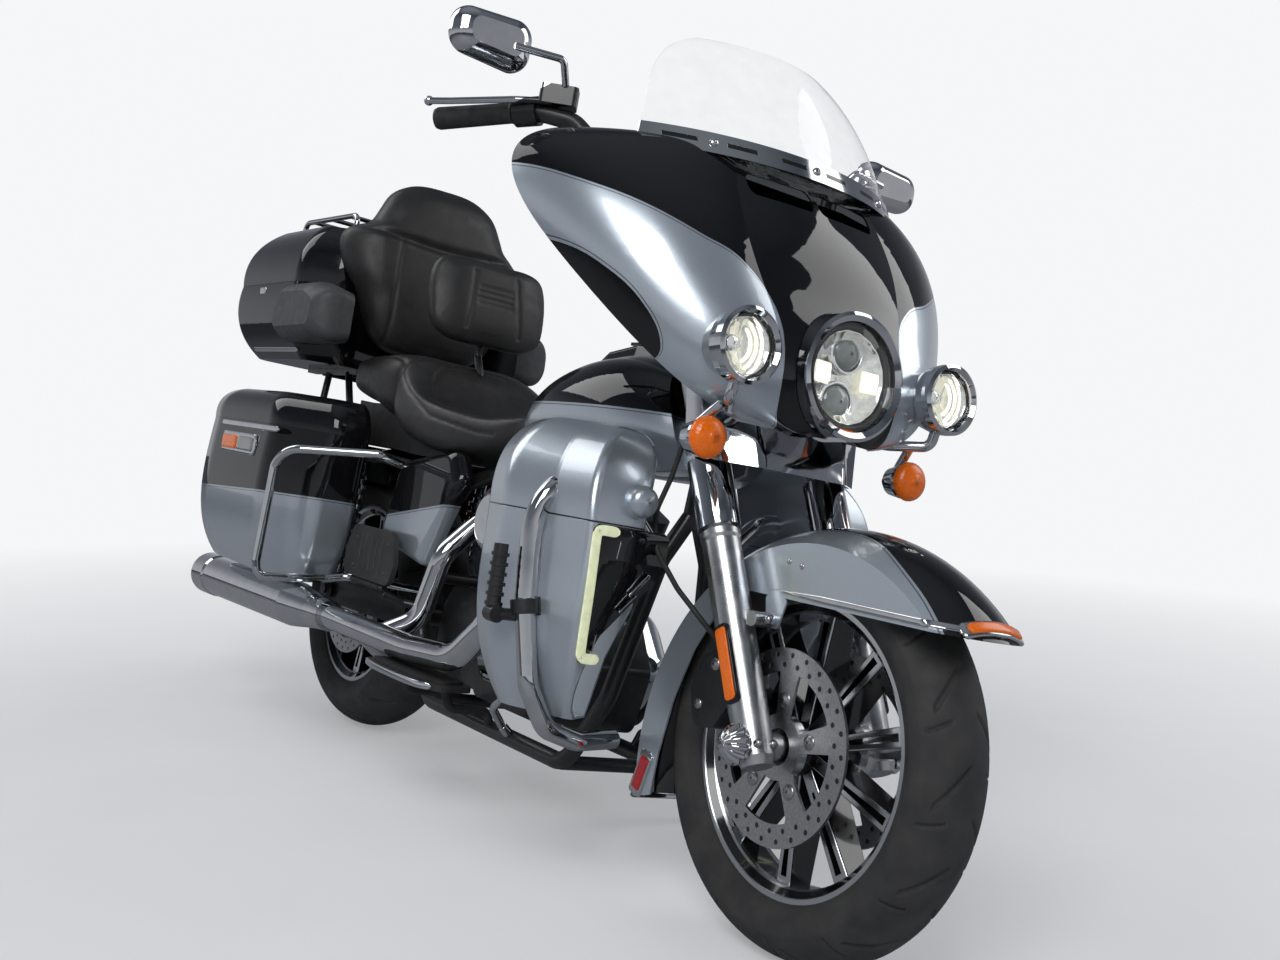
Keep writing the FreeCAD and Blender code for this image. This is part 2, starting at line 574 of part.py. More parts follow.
def tank_outline(row):
    """Upright outline with flat bottom, bowed flanks and bowed top."""
    ahead, low_half, wide_half, top_half, low, wide, shoulder, top = row

    def arc(*points):
        return Part.Arc(*[v(side, ahead, up) for side, up in points]).toShape()

    return Part.Wire([Part.LineSegment(v(-low_half, ahead, low), v(low_half, ahead, low)).toShape(),
                      arc((low_half, low), (wide_half, wide), (top_half, shoulder)),
                      arc((top_half, shoulder), (0, top), (-top_half, shoulder)),
                      arc((-top_half, shoulder), (-wide_half, wide), (-low_half, low))])


BACKBONE_RADIUS = 26.0
BACKBONE_FRONT = (1392.0, 826.0)
BACKBONE_REAR = (768.0, 756.0)
TUNNEL_ROOM = 8.0
tunnel_top = BACKBONE_RADIUS + TUNNEL_ROOM
tunnel = flank_plate(-tunnel_top, tunnel_top,
                     [(BACKBONE_REAR[0] - 80, 600), (BACKBONE_FRONT[0], 600),
                      (BACKBONE_FRONT[0], BACKBONE_FRONT[1] + tunnel_top),
                      (BACKBONE_REAR[0], BACKBONE_REAR[1] + tunnel_top),
                      (BACKBONE_REAR[0] - 80, BACKBONE_REAR[1] + tunnel_top)])
FORK_SWEEP = (96.0, 180.0)
fork_room = turned(on_steering(680), STEER_UPWARD, [(0, FORK_SWEEP[0]), (300, FORK_SWEEP[0]),
                                                   (300, FORK_SWEEP[1]), (0, FORK_SWEEP[1])])
fork_room = fork_room.cut(level_plate(500, 1100, [(-34, 1330), (34, 1330), (60, 1180), (60, 1100),
                                                  (-60, 1100), (-60, 1180)]))
tank = loft([tank_outline(row) for row in TANK_ROWS]).cut(tunnel).cut(fork_room)
tank = tank.cut(block((-66, 66), (690, 812), (600, 764)))
node("fuel_tank", tank)

# Seats and back rests: soft solids


def pad(rows, radius):
    """Cushion lofted through upright outlines: ahead, half width, low, top, top half width."""
    return loft([cross(ahead, [(-half, low), (half, low), (half, top - 30), (top_half, top),
                               (-top_half, top), (-half, top - 30)], radius)
                 for ahead, half, low, top, top_half in rows])


rider_seat = pad([(752, 88, 750, 808, 70), (690, 110, 744, 802, 90), (560, 184, 704, 764, 150),
                  (430, 206, 698, 776, 170), (340, 206, 706, 846, 160), (262, 192, 736, 910, 150)], 16)
pillion_seat = pad([(261.5, 188, 786, 904, 150), (200, 198, 786, 902, 160), (20, 194, 786, 894, 160),
                    (-40, 180, 786, 888, 150)], 16)
node("seat", [rider_seat, pillion_seat])
RIDER_PAD = v(0, 285, 1052)
pad_back = loft([Part.Wire(rounded([RIDER_PAD + v(s, a + 0.14 * (0 - u), u) for s, u in
                                    ((-w, -h), (w, -h), (w * 0.94, h), (-w * 0.94, h))], 60))
                 for a, w, h in ((-44, 120, 84), (-10, 148, 104), (26, 126, 86))])
stay = tube([v(0, 300, 870), v(0, 262, 930), v(0, 262, 990)], 10, 20)
node("rider_backrest", [pad_back])

# Top box
BOX_HALF = 300.0
BOX_REAR = -650.0
BOX_FRONT = -120.0
BOX_LOW = 868.0
BOX_SEAM = 1058.0
BOX_TOP = 1218.0
BOX_WALL = 4.0


def box_plan(up, half, rear, front, inset, radius):
    """Level outline of the top box, narrower in front."""
    return plan(up, [(-half + inset, rear + inset), (half - inset, rear + inset),
                     (half - inset, front - 70), (half * 0.7 - inset, front - inset),
                     (-half * 0.7 + inset, front - inset), (-half + inset, front - 70)], radius)


tub = loft([box_plan(BOX_LOW, 250, -560, BOX_FRONT, 0, 50),
            box_plan(930, 290, -620, BOX_FRONT, 0, 50),
            box_plan(BOX_SEAM, BOX_HALF, BOX_REAR, BOX_FRONT, 0, 50)])
tub_hollow = loft([box_plan(BOX_LOW + BOX_WALL, 250, -560, BOX_FRONT, BOX_WALL, 46),
                   box_plan(930, 290, -620, BOX_FRONT, BOX_WALL, 46),
                   box_plan(BOX_SEAM + 1, BOX_HALF, BOX_REAR, BOX_FRONT, BOX_WALL, 46)])
node("top_box", tub.cut(tub_hollow))
LID_GAP = 1.0
lid = loft([box_plan(BOX_SEAM + LID_GAP, BOX_HALF, BOX_REAR, BOX_FRONT, 0, 50),
            box_plan(1150, 290, -636, BOX_FRONT, 0, 50),
            box_plan(BOX_TOP, 236, -570, BOX_FRONT - 30, 0, 50)])
lid_hollow = loft([box_plan(BOX_SEAM, BOX_HALF, BOX_REAR, BOX_FRONT, BOX_WALL, 46),
                   box_plan(1150, 290, -636, BOX_FRONT, BOX_WALL, 46),
                   box_plan(BOX_TOP - BOX_WALL, 236, -570, BOX_FRONT - 30, BOX_WALL, 46)])
node("top_box_lid", lid.cut(lid_hollow))
rack_side = tube([v(170, -200, BOX_TOP), v(170, -200, 1262), v(180, -540, 1262),
                  v(180, -540, BOX_TOP - 20)], 7, 24)
rack_bars = [rod(v(-x, y, 1262), v(x, y, 1262), 6) for x, y in ((171, -250), (175, -370), (178, -490))]
node("luggage_rack", fused([rack_side, mirrored(rack_side)] + rack_bars).cut(lid))
pillion_back = loft([Part.Wire(rounded([v(s, a - 0.12 * (u - 1100), u) for s, u in
                                        ((-w, 908), (w, 908), (w, 1180), (w * 0.78, top),
                                         (-w * 0.78, top), (-w, 1180))], 44))
                     for a, w, top in ((-104, 170, 1350), (-40, 185, 1362), (6, 150, 1330))])
pillion_back = pillion_back.cut(tub).cut(lid)
pillion_back = pillion_back.cut(block((-400, 400), (-700, BOX_FRONT + 9), (BOX_SEAM - 8, 1400)))
node("pillion_backrest", pillion_back.cut(block((-400, 400), (-700, BOX_FRONT + CLEAR), (800, 1400))))

# Rear fender, a crowned channel round the rear tyre
REAR_FENDER_RADIUS = 362.0
REAR_FENDER_HALF = 112.0
rear_fender = fender_shell(v(0, 0, REAR_AXLE_UP + 6), REAR_FENDER_RADIUS, REAR_FENDER_HALF, 3, 250,
                           62, 182)
rear_fender = rear_fender.cut(flank_plate(-200, 200, [(-330, 250), (-290, 520), (-120, 596),
                                                      (160, 596), (420, 596), (420, 100),
                                                      (-330, 100)], 0))

# Frame: steering head, backbone, down tubes, cradle and seat rails
FRAME_RADIUS = 16.0
head_low = LOW_YOKE_UP + YOKE_WALL + 22
head_high = HIGH_YOKE_UP - 22
head_tube = rod(on_steering(head_low), on_steering(head_high), HEAD_RADIUS)
head_bore = rod(on_steering(head_low - 60), on_steering(head_high + 60), STEM_RADIUS + RUNNING)
backbone = rod(v(0, *BACKBONE_FRONT), v(0, *BACKBONE_REAR), BACKBONE_RADIUS)
CRADLE_SIDE = 122.0
CRADLE_UP = 168.0
spine = tube([v(0, 1340, 820), v(0, 1226, 806), v(0, 1212, 620)], 22, 40)
cradle = tube([v(10, 1213, 640), v(52, 1206, 560), v(96, 1180, 300), v(CRADLE_SIDE, 1120, CRADLE_UP),
               v(CRADLE_SIDE, 560, CRADLE_UP), v(CRADLE_SIDE, 470, 300), v(CRADLE_SIDE, 470, 540),
               v(CRADLE_SIDE, 560, 630), v(18, 778, 738)], FRAME_RADIUS, 50)
SEAT_RAIL_SIDE = CRADLE_SIDE + 14
SEAT_RAIL_UP = 668.0
BAG_IN = 196.0
seat_rail = tube([v(CRADLE_SIDE, 500, 580), v(SEAT_RAIL_SIDE, 300, 650),
                  v(SEAT_RAIL_SIDE, -60, SEAT_RAIL_UP), v(SEAT_RAIL_SIDE, -330, SEAT_RAIL_UP)],
                 FRAME_RADIUS - 3, 60)
bridges = [rod(v(-x, y, z), v(x, y, z), 13) for x, y, z in
           ((CRADLE_SIDE, 1110, CRADLE_UP), (CRADLE_SIDE, 560, CRADLE_UP + 4), (CRADLE_SIDE, 470, 420),
            (CRADLE_SIDE + 14, -40, 668), (CRADLE_SIDE, 470, 520))]
tank_posts = [rod(v(0, ahead, BACKBONE_REAR[1]), v(0, ahead, BACKBONE_FRONT[1] + 30), 12).cut(tank)
              for ahead in (880, 1130)]
tank_posts = [min(post.Solids, key=lambda solid: solid.BoundBox.ZMin) for post in tank_posts]
bag_arms = [rod(v(SEAT_RAIL_SIDE, ahead, SEAT_RAIL_UP), v(BAG_IN - CLEAR, ahead, SEAT_RAIL_UP), 9)
            for ahead in (-290, -30)]
frame = fused([head_tube, backbone, spine, cradle, mirrored(cradle), seat_rail, mirrored(seat_rail)]
              + bridges + tank_posts + bag_arms + [mirrored(arm) for arm in bag_arms]).cut(head_bore)
ARM_SIDE = (122.0, 150.0)
arm = flank_plate(ARM_SIDE[0], ARM_SIDE[1], [(430, 300), (430, 360), (300, 356), (30, 352),
                                             (-60, 346), (-60, 296), (30, 292), (300, 296)], 10)
swing_cross = rod(v(-ARM_SIDE[0] - 6, 400, 330), v(ARM_SIDE[0] + 6, 400, 330), 24)
rear_axle = fused([rod(REAR_AXLE + v(-168, 0, 0), REAR_AXLE + v(168, 0, 0), AXLE_RADIUS)]
                  + both(turned(REAR_AXLE, SIDEWAYS, [(154, 0), (154, 22), (164, 20), (164, 0)])))
node("swingarm", fused([arm, mirrored(arm), swing_cross, rear_axle]))
shock = fused([rod(v(166, 96, 640), v(166, 60, 372), 17), rod(v(136, 96, 652), v(176, 96, 652), 14),
               rod(v(150, 60, 360), v(184, 60, 360), 14)]
              + [rod(v(166, 92 - 3.2 * i, 612 - 24 * i), v(166, 91 - 3.2 * i, 602 - 24 * i), 26)
                 for i in range(9)])
node("shock_absorbers", both(shock.cut(frame)))

# Engine: crankcase, finned cylinders and heads of the V, covers, gearbox
CRANK = (840.0, 330.0)
V_HALF = 22.5
crankcase = flank_plate(-92, 92, [(680, 206), (1010, 206), (1040, 330), (980, 420), (900, 462),
                                  (780, 462), (690, 420)], 30)
CYLINDER_START = 128.0
FIN_PITCH = 15.0
FINS = 9


def cylinder(tilt):
    """Barrel, head and rocker cover with cooling fins, leaned by tilt about the crank."""
    way = v(0, math.sin(math.radians(tilt)), math.cos(math.radians(tilt)))
    base = v(0, CRANK[0], CRANK[1])
    side_way = v(0, math.cos(math.radians(tilt)), -math.sin(math.radians(tilt)))

    def slab(start, end, half_side, half_long, radius):
        corners = [base + way * start + SIDEWAYS * s + side_way * a for s, a in
                   ((-half_side, -half_long), (half_side, -half_long), (half_side, half_long),
                    (-half_side, half_long))]
        return prism(Part.Wire(rounded(corners, radius)), way * (end - start))

    core = rod(base + way * (CYLINDER_START - 20), base + way * 262, 56)
    fins = [slab(CYLINDER_START + FIN_PITCH * i, CYLINDER_START + FIN_PITCH * i + 5, 88, 82, 34)
            for i in range(FINS)]
    head = slab(262, 300, 74, 66, 20)
    head_fins = [slab(262 + 13 * i, 267 + 13 * i, 92, 84, 24) for i in range(3)]
    rocker = slab(300, 346, 84, 74, 26)
    return [core, head, rocker] + fins + head_fins


rear_jug = fused(cylinder(-V_HALF))
front_jug = fused(cylinder(V_HALF))
jugs = fused([rear_jug.cut(flank_plate(-200, 200, [(CRANK[0], 300), (CRANK[0] + 300, 300),
                                                   (CRANK[0] + 300, 900), (CRANK[0], 900)])),
              front_jug.cut(flank_plate(-200, 200, [(CRANK[0], 300), (CRANK[0] - 300, 300),
                                                    (CRANK[0] - 300, 900), (CRANK[0], 900)]))])
jugs = jugs.cut(crankcase)
node("engine_cylinders", jugs)
gearbox = flank_plate(-88, 92, [(486, 216), (760, 216), (760, 410), (520, 410), (486, 360)], 22)
gearbox = gearbox.cut(frame).cut(crankcase)
gearbox = min(gearbox.Solids, key=lambda solid: -solid.BoundBox.YMax)
node("engine_crankcase", [crankcase, gearbox])
primary = loft([Part.Wire(rounded([v(s, a, u) for a, u in
                                   ((500 + d, 320), (600, 224 + d), (900, 224 + d), (985 - d, 330),
                                    (900, 430 - d), (600, 410 - d))], 40))
                for s, d in ((96.3, 0), (170, 0), (190, 22))])
primary = primary.cut(frame)
cam = loft([Part.Wire(rounded([v(-s, a, u) for a, u in
                               ((760 + d, 250 + d), (960 - d, 250 + d), (985 - d, 340),
                                (900, 430 - d), (780, 430 - d), (740 + d, 340))], 34))
            for s, d in ((92, 0), (128, 4), (142, 20))])
node("engine_covers", [primary, cam])
air_cleaner = loft([Part.Wire(rounded([v(-s, a, u) for a, u in
                                       ((760 + d, 500 + d), (930 - d, 500 + d), (960 - d, 570),
                                        (930 - d, 640 - d), (760 + d, 640 - d), (730 + d, 570))], 50))
                    for s, d in ((84, 0), (178, 0), (196, 22))])
node("air_cleaner", air_cleaner.cut(jugs))

# Exhaust: two headers joining low on the right, a crossover, and a muffler each side
MUFFLER_RADIUS = 52.0
TIP_BORE = 47.0
TIP_DEPTH = 40.0
MUFFLER_SIDE = 265.0
PIPE_RADIUS = 24.0
PIPE_GUARD_RADIUS = 27.0


def muffler(side):
    """Long tapered can with a rolled tip open at the back."""
    start = v(side, 300, 290)
    way = (v(side, -545, 274) - start).normalize()
    length = 845
    can = turned(start, way, [(0, 0), (0, 34), (70, 38), (160, MUFFLER_RADIUS - 4),
                              (200, MUFFLER_RADIUS), (length - 90, MUFFLER_RADIUS),
                              (length - 80, MUFFLER_RADIUS + 3), (length, MUFFLER_RADIUS + 3),
                              (length, TIP_BORE), (length - TIP_DEPTH, TIP_BORE),
                              (length - 120, MUFFLER_RADIUS - 8),
                              (length - 120, 0)])
    return can


front_header = tube([v(-70, 1010, 590), v(-150, 1062, 590), v(-232, 1050, 500), v(-252, 985, 380),
                     v(-258, 900, 306), v(-265, 720, 292), v(-265, 280, 290)],
                    PIPE_GUARD_RADIUS, [0, 34, 60, 90, 110, 200, 0])
rear_header = tube([v(-60, 690, 580), v(-130, 668, 560), v(-200, 660, 480), v(-206, 620, 340),
                    v(-262, 560, 292)], PIPE_RADIUS - 2, [0, 30, 60, 70, 0])
crossover = tube([v(-262, 470, 288), v(-180, 440, 236), v(150, 440, 232), v(240, 420, 262),
                  v(265, 360, 288), v(265, 280, 290)], PIPE_RADIUS - 2, [0, 40, 60, 50, 40, 0])
exhaust = fused([front_header, rear_header, crossover]).cut(jugs)
exhaust = largest(exhaust.cut(muffler(-MUFFLER_SIDE)).cut(muffler(MUFFLER_SIDE)))

# Side bags, modelled on the left and mirrored
BAG_WALL = 4.0
BAG_SEAM_UP = 690.0
# Columns: up, outer side, rear ahead, front ahead, corner inset at the front
BAG_ROWS = ((346, 345, -405, 120, 60), (410, 374, -440, 165, 80), (560, 392, -462, 192, 90),
            (BAG_SEAM_UP, 386, -460, 205, 100))
LID_ROWS = ((BAG_SEAM_UP + 0.5, 386, -460, 205, 100), (742, 380, -450, 188, 96),
            (772, 346, -412, 140, 80))


def bag_plan(row, inset, lift=0.0):
    """Level outline of a side bag, tapering inboard at the front."""
    up, out, rear, front, taper = row
    return plan(up + lift, [(BAG_IN + inset, rear + 26 + inset), (out - 24 - inset, rear + inset),
                            (out - inset, rear + 130), (out - inset, front - taper - 40),
                            (out - taper - inset, front - inset), (BAG_IN + inset, front - inset)],
                (24 - inset, 50 - inset, 200, 90, 40, 24 - inset))


bag = loft([bag_plan(row, 0) for row in BAG_ROWS])
bag = bag.cut(loft([bag_plan(row, BAG_WALL, BAG_WALL if i == 0 else (1 if i == 3 else 0))
                    for i, row in enumerate(BAG_ROWS)]))
bag_lid = loft([bag_plan(row, 0) for row in LID_ROWS])
bag_lid = bag_lid.cut(loft([bag_plan(row, BAG_WALL, (-1, 0, -BAG_WALL)[i])
                            for i, row in enumerate(LID_ROWS)]))
bag_guard = tube([v(SEAT_RAIL_SIDE, 336, 638), v(224, 318, 662), v(392, 200, 640), v(402, 168, 600),
                  v(402, 160, 380), v(396, 162, 345), v(330, 172, 352), v(240, 176, 360),
                  v(180, 190, 374), v(CRADLE_SIDE + 4, 470, 384)],
                 10, [0, 40, 60, 24, 24, 24, 40, 40, 40, 0])
bag_guard = bag_guard.cut(frame)

# Top box carrier, speaker pods and chrome lower rail
carrier = fused([rod(v(SEAT_RAIL_SIDE, -60, SEAT_RAIL_UP + 4), v(120, -200, BOX_LOW - 10), 9),
                 rod(v(SEAT_RAIL_SIDE, -320, SEAT_RAIL_UP + 4), v(120, -330, BOX_LOW - 10), 9),
                 block((98, 124), (-480, -140), (BOX_LOW - 12, BOX_LOW - CLEAR)),
                 rod(v(0, -200, BOX_LOW - 9), v(110, -200, BOX_LOW - 9), 8),
                 rod(v(0, -400, BOX_LOW - 9), v(110, -400, BOX_LOW - 9), 8)])
carrier = fused([carrier, mirrored(carrier)]).cut(frame)
pod = loft([Part.Wire(rounded([v(s, a, u) for a, u in ((-240, 910 + d), (36 - d, 914 + d), (30 - d, 1030 - d),
                                                       (-60, 1050 - d), (-240, 1050 - d))], 24))
            for s, d in ((230, 0), (310, 6), (330, 26))])

# Lower fairings: columns up, inner side, outer side, back ahead, front ahead
LOWER_ROWS = ((284, 214, 328, 1175, 1318), (380, 205, 362, 1128, 1362), (480, 202, 372, 1108, 1368),
              (590, 200, 370, 1098, 1362), (690, 182, 360, 1088, 1340), (752, 170, 316, 1090, 1300),
              (772, 190, 280, 1120, 1260))


def lower_plan(row, inset, back_extra=0.0):
    """Level outline of a lower fairing: a rear bulge that narrows to the front face."""
    up, inner, outer, back, front = row
    bulge = back + 0.3 * (front - back)
    waist = back + 0.66 * (front - back)
    return plan(up, [(inner + inset, back - back_extra), (outer - 14 - inset, back - back_extra),
                     (outer - inset, bulge), (outer - 40 - inset, waist),
                     (outer - 62 - inset, front - inset), (inner + inset, front - inset)],
                (14 - inset, 16 - inset, 40, 40, 14 - inset, 14 - inset))


lower = loft([lower_plan(row, 0) for row in LOWER_ROWS])
lower_rows_in = ((288,) + LOWER_ROWS[0][1:],) + LOWER_ROWS[1:6] + ((768,) + LOWER_ROWS[6][1:],)
lower_hollow = loft([lower_plan(row, 4, 8) for row in lower_rows_in])
lower = lower.cut(lower_hollow)
GUARD_RADIUS = 17.0
guard_points = [v(60, 1206, 560), v(160, 1206, 655), v(282, 1214, 655), v(318, 1238, 600), v(348, 1266, 462),
                v(330, 1290, 330), v(285, 1292, 262), v(200, 1262, 238), v(96, 1215, 236)]
guard_bends = [0, 60, 30, 60, 120, 60, 40, 60, 0]
guard = tube(guard_points, GUARD_RADIUS, guard_bends)
guard_groove = tube(guard_points, GUARD_RADIUS + CLEAR, guard_bends)
lower = lower.cut(guard_groove)
# Room for the tail of the fender at full lock: rows (along the steering axis, radius)
fender_room = turned(on_steering(0), STEER_UPWARD,
                     [(330, 0), (330, 434), (367, 427), (475, 393), (563, 337), (633, 263),
                      (667, 206), (700, 116), (700, 0)])
lower = lower.cut(fender_room)
GRILLE_UP = (384.0, 584.0)
GRILLE_SIDE = (222.0, 292.0)
window = prism(cross(1300, [(GRILLE_SIDE[0], GRILLE_UP[0]), (GRILLE_SIDE[1], GRILLE_UP[0]),
                            (GRILLE_SIDE[1], GRILLE_UP[1]), (GRILLE_SIDE[0], GRILLE_UP[1])], 16),
               v(0, 120, 0))
lower = lower.cut(window)
grille_frame = prism(cross(1350, [(GRILLE_SIDE[0] + CLEAR, GRILLE_UP[0] + CLEAR),
                                (GRILLE_SIDE[1] - CLEAR, GRILLE_UP[0] + CLEAR),
                                (GRILLE_SIDE[1] - CLEAR, GRILLE_UP[1] - CLEAR),
                                (GRILLE_SIDE[0] + CLEAR, GRILLE_UP[1] - CLEAR)], 15), v(0, 18, 0))
grille_frame = grille_frame.cut(block((GRILLE_SIDE[0] + 8, GRILLE_SIDE[1] - 8), (1300, 1400),
                                      (GRILLE_UP[0] + 8, GRILLE_UP[1] - 8)))
slats = [block((GRILLE_SIDE[0] + 6, GRILLE_SIDE[1] - 6), (1352, 1364), (up, up + 5))
         for up in range(int(GRILLE_UP[0]) + 24, int(GRILLE_UP[1]) - 16, 22)]
grille = fused([grille_frame] + slats)

# Highway pegs, rider boards, controls and pillion boards
peg_arm = fused([rod(v(352, 1262, 436), v(392, 1250, 434), 10), rod(v(392, 1262, 434), v(392, 1236, 434), 14),
                 rod(v(392, 1244, 430), v(392, 1236, 546), 12)]
                + [rod(v(392, 1243.4 - 0.07 * t, 446 + t), v(392, 1243.2 - 0.07 * t, 452 + t), 15)
                   for t in range(0, 96, 16)])
CLAMP_AT = v(347.3, 1267.2, 452)
CLAMP_WAY = (guard_points[4] - guard_points[5]).normalize()
clamp = turned(CLAMP_AT, CLAMP_WAY, [(-12, GUARD_RADIUS + CLEAR), (12, GUARD_RADIUS + CLEAR),
                                     (12, GUARD_RADIUS + 7), (-12, GUARD_RADIUS + 7)])
lower = lower.cut(rod(CLAMP_AT - CLAMP_WAY * 15, CLAMP_AT + CLAMP_WAY * 15, GUARD_RADIUS + 10))
lower = lower.cut(rod(v(340, 1266, 437), v(392, 1250, 434), 13))
peg = fused([peg_arm.cut(tube(guard_points, GUARD_RADIUS + CLEAR, guard_bends)),
             clamp.cut(tube(guard_points, GUARD_RADIUS + CLEAR, guard_bends))])
BOARD_UP = 240.0
BOARD_IN = 198.0
board_supports = [tube([v(CRADLE_SIDE, ahead, CRADLE_UP), v(CRADLE_SIDE + 18, ahead, 201),
                        v(BOARD_IN + 24, ahead, 202), v(BOARD_IN + 40, ahead, BOARD_UP)], 9, [0, 16, 20, 0])
                  for ahead in (660, 840)]
board = fused([level_plate(BOARD_UP, BOARD_UP + 12,
                           [(BOARD_IN, 610), (300, 600), (318, 700), (310, 860), (270, 900),
                            (BOARD_IN, 880)], 20),
               level_plate(BOARD_UP + 12, BOARD_UP + 18,
                           [(BOARD_IN + 12, 622), (292, 614), (306, 700), (298, 850), (262, 884),
                            (BOARD_IN + 12, 866)], 16)] + board_supports).cut(cradle)
brake_pedal = fused([tube([v(-150, 930, 190), v(-196, 960, 230), v(-196, 1040, 300)], 8, 30),
                     block((-236, -180), (1030, 1078), (300, 312)),
                     rod(v(-(CRADLE_SIDE + 14), 928, 180), v(-152, 931, 192), 10)]).cut(mirrored(cradle))
shifter = fused([tube([v(214, 690, 330), v(214, 800, 300), v(214, 1010, 330)], 7, 60),
                 rod(v(196, 1006, 342), v(252, 1006, 342), 12), rod(v(196, 694, 346), v(252, 694, 346), 12),
                 rod(v(191, 850, 306), v(216, 850, 306), 9)])
PILLION_BOARD = ((214, 384), (458, 384), (472, 430), (446, 500), (236, 500), (206, 440))
pillion = fused([prism(Part.Wire(rounded([v(204, a, u) for a, u in PILLION_BOARD], 26)), v(12, 0, 0)),
                 rod(v(204, 250, 376), v(204, 400, 376), 8)])
pillion = pillion.cut(rod(v(204, 330, 376), v(204, 410, 376), 4 + RUNNING))
pillion_bracket = fused([tube([v(CRADLE_SIDE, 470, 350), v(160, 440, 352), v(204, 426, 366)], 9, 20),
                         rod(v(204, 424, 376), v(204, 404, 376), 7),
                         rod(v(204, 424, 376), v(204, 334, 376), 4)])

# Side stand, folded back about an axis tilted out of the upright
STAND_PIVOT = v(146, 985, 186)
STAND_FOOT = v(329.5, 1043, 60.7)
STAND_FOLDED_WAY = v(0.12, -0.99, -0.06)
stand_way = (STAND_FOOT - STAND_PIVOT).normalize()
STAND_AXIS = stand_way.cross(STAND_FOLDED_WAY).normalize()
stand_pad = block((308, 360), (1010, 1076), (0, 9)).rotated(ORIGIN, FreeCAD.Vector(0, 1, 0), -LEAN)
stand_pin = rod(STAND_PIVOT - STAND_AXIS * 16, STAND_PIVOT + STAND_AXIS * 16, 8)
stand_leg = tube([STAND_PIVOT, (STAND_PIVOT + STAND_FOOT) * 0.5 + v(0, -6, -3), STAND_FOOT], 10,
                 [0, 120, 0])
under_floor = block((200, 500), (900, 1200), (-60, 1)).rotated(ORIGIN, FreeCAD.Vector(0, 1, 0), -LEAN)
for way in (STAND_AXIS, STAND_AXIS * -1):
    stand_leg = stand_leg.cut(rod(STAND_PIVOT + way * 9, STAND_PIVOT + way * 30, 19))
stand = fused([stand_leg.cut(under_floor), stand_pad,
               rod(STAND_PIVOT - STAND_AXIS * 9, STAND_PIVOT + STAND_AXIS * 9, 15)])
stand = stand.cut(rod(STAND_PIVOT - STAND_AXIS * 30, STAND_PIVOT + STAND_AXIS * 30, 8 + RUNNING))
fork_plates = [rod(STAND_PIVOT + STAND_AXIS * 10, STAND_PIVOT + STAND_AXIS * 16, 17),
               rod(STAND_PIVOT - STAND_AXIS * 16, STAND_PIVOT - STAND_AXIS * 10, 17)]
inward = v(0, 1, 0).cross(STAND_AXIS).normalize()
stand_arms = [tube([STAND_PIVOT + STAND_AXIS * 15.5, STAND_PIVOT + STAND_AXIS * 15.5 + inward * 28,
                    v(CRADLE_SIDE - 6, 985, CRADLE_UP + 12)], 5, [0, 8, 0]),
              rod(STAND_PIVOT - STAND_AXIS * 15.5 + inward * 4, v(CRADLE_SIDE, 985, CRADLE_UP + 2), 5)]
stand_bracket = fused([stand_pin] + fork_plates + stand_arms)
stand_bracket = stand_bracket.cut(cradle)

# Fuel door and console
DOOR_HALF = 34.0
DOOR_REAR = 952.0
DOOR_FRONT = 1052.0
DOOR_UP = 950.5
console = loft([cross(ahead, [(-half, up - 46), (half, up - 46), (half * 0.86, up), (-half * 0.86, up)], 8)
                for ahead, half, up in ((764, 44, 852), (900, 50, 936), (1000, 52, 950), (1100, 46, 942))],
               ruled=True)
console = console.cut(tank)
FILLER = v(0, 1002, 900)
console = console.cut(block((-28, 28), (966, 1040), (926, 960)))
filler_cap = rod(FILLER + v(0, 0, 26 + CLEAR), FILLER + v(0, 0, 42), 25).cut(tank)
fuel_door = level_plate(DOOR_UP, DOOR_UP + 5, [(-DOOR_HALF, DOOR_REAR), (DOOR_HALF, DOOR_REAR),
                                               (DOOR_HALF, DOOR_FRONT), (-DOOR_HALF, DOOR_FRONT)], 10)
fuel_door = fused([fuel_door, rod(v(-20, DOOR_FRONT, DOOR_UP + 3), v(20, DOOR_FRONT, DOOR_UP + 3), 3)])

# Side covers, rear lamps, plate holder and brake hose
side_cover = loft([Part.Wire(rounded([v(s, a, u) for a, u in
                                      ((300 + d, 470 + d), (520 - d, 440 + d), (640 - d, 640 - d),
                                       (600 - d, 700 - d), (340 + d, 660 - d))], 24))
                   for s, d in ((150, 0), (176, 6), (186, 20))])
cover_pegs = [rod(v(CRADLE_SIDE, ahead, up), v(158, ahead, up), 7) for ahead, up in ((468, 500), (500, 580))]
side_cover = fused([side_cover] + cover_pegs).cut(frame)
side_cover = largest(side_cover.cut(bag_guard))
lamp_mount = fused([block((-70, 70), (-352, -344), (556, 640)), block((-46, 46), (-346, -220), (572, 604))])
lamp_bar_rear = rod(v(-150, -344, 566), v(150, -344, 566), 8)
tail_lamp = loft([Part.Wire(rounded([v(s, a, u) for s, u in ((-w, 596), (w, 596), (w, 644), (-w, 644))], 12))
                  for a, w in ((-352 - CLEAR, 60), (-378, 54))])
rear_signals = both(turned(v(150, -352, 566), v(0, -1, 0), [(-30, 0), (-30, 12), (-6, 30), (14, 30),
                                                           (22, 20), (24, 0)]))
plate_holder = flank_plate(-95, 95, [(-357, 436), (-352, 436), (-352, 560), (-357, 560)])
hose = tube([v(-152, 1350, LOW_YOKE_UP + 2), v(-158, 1342, 700), v(-176, 1340, 640), v(-180, 1364, 580),
             v(-164, 1420, 524), v(-134, 1466, 478), v(-100, 1490, 442)], 4.5, [0, 50, 60, 70, 70, 60, 0])
hose = hose.cut(mirrored(caliper)).cut(yoke(YOKE_LOW))

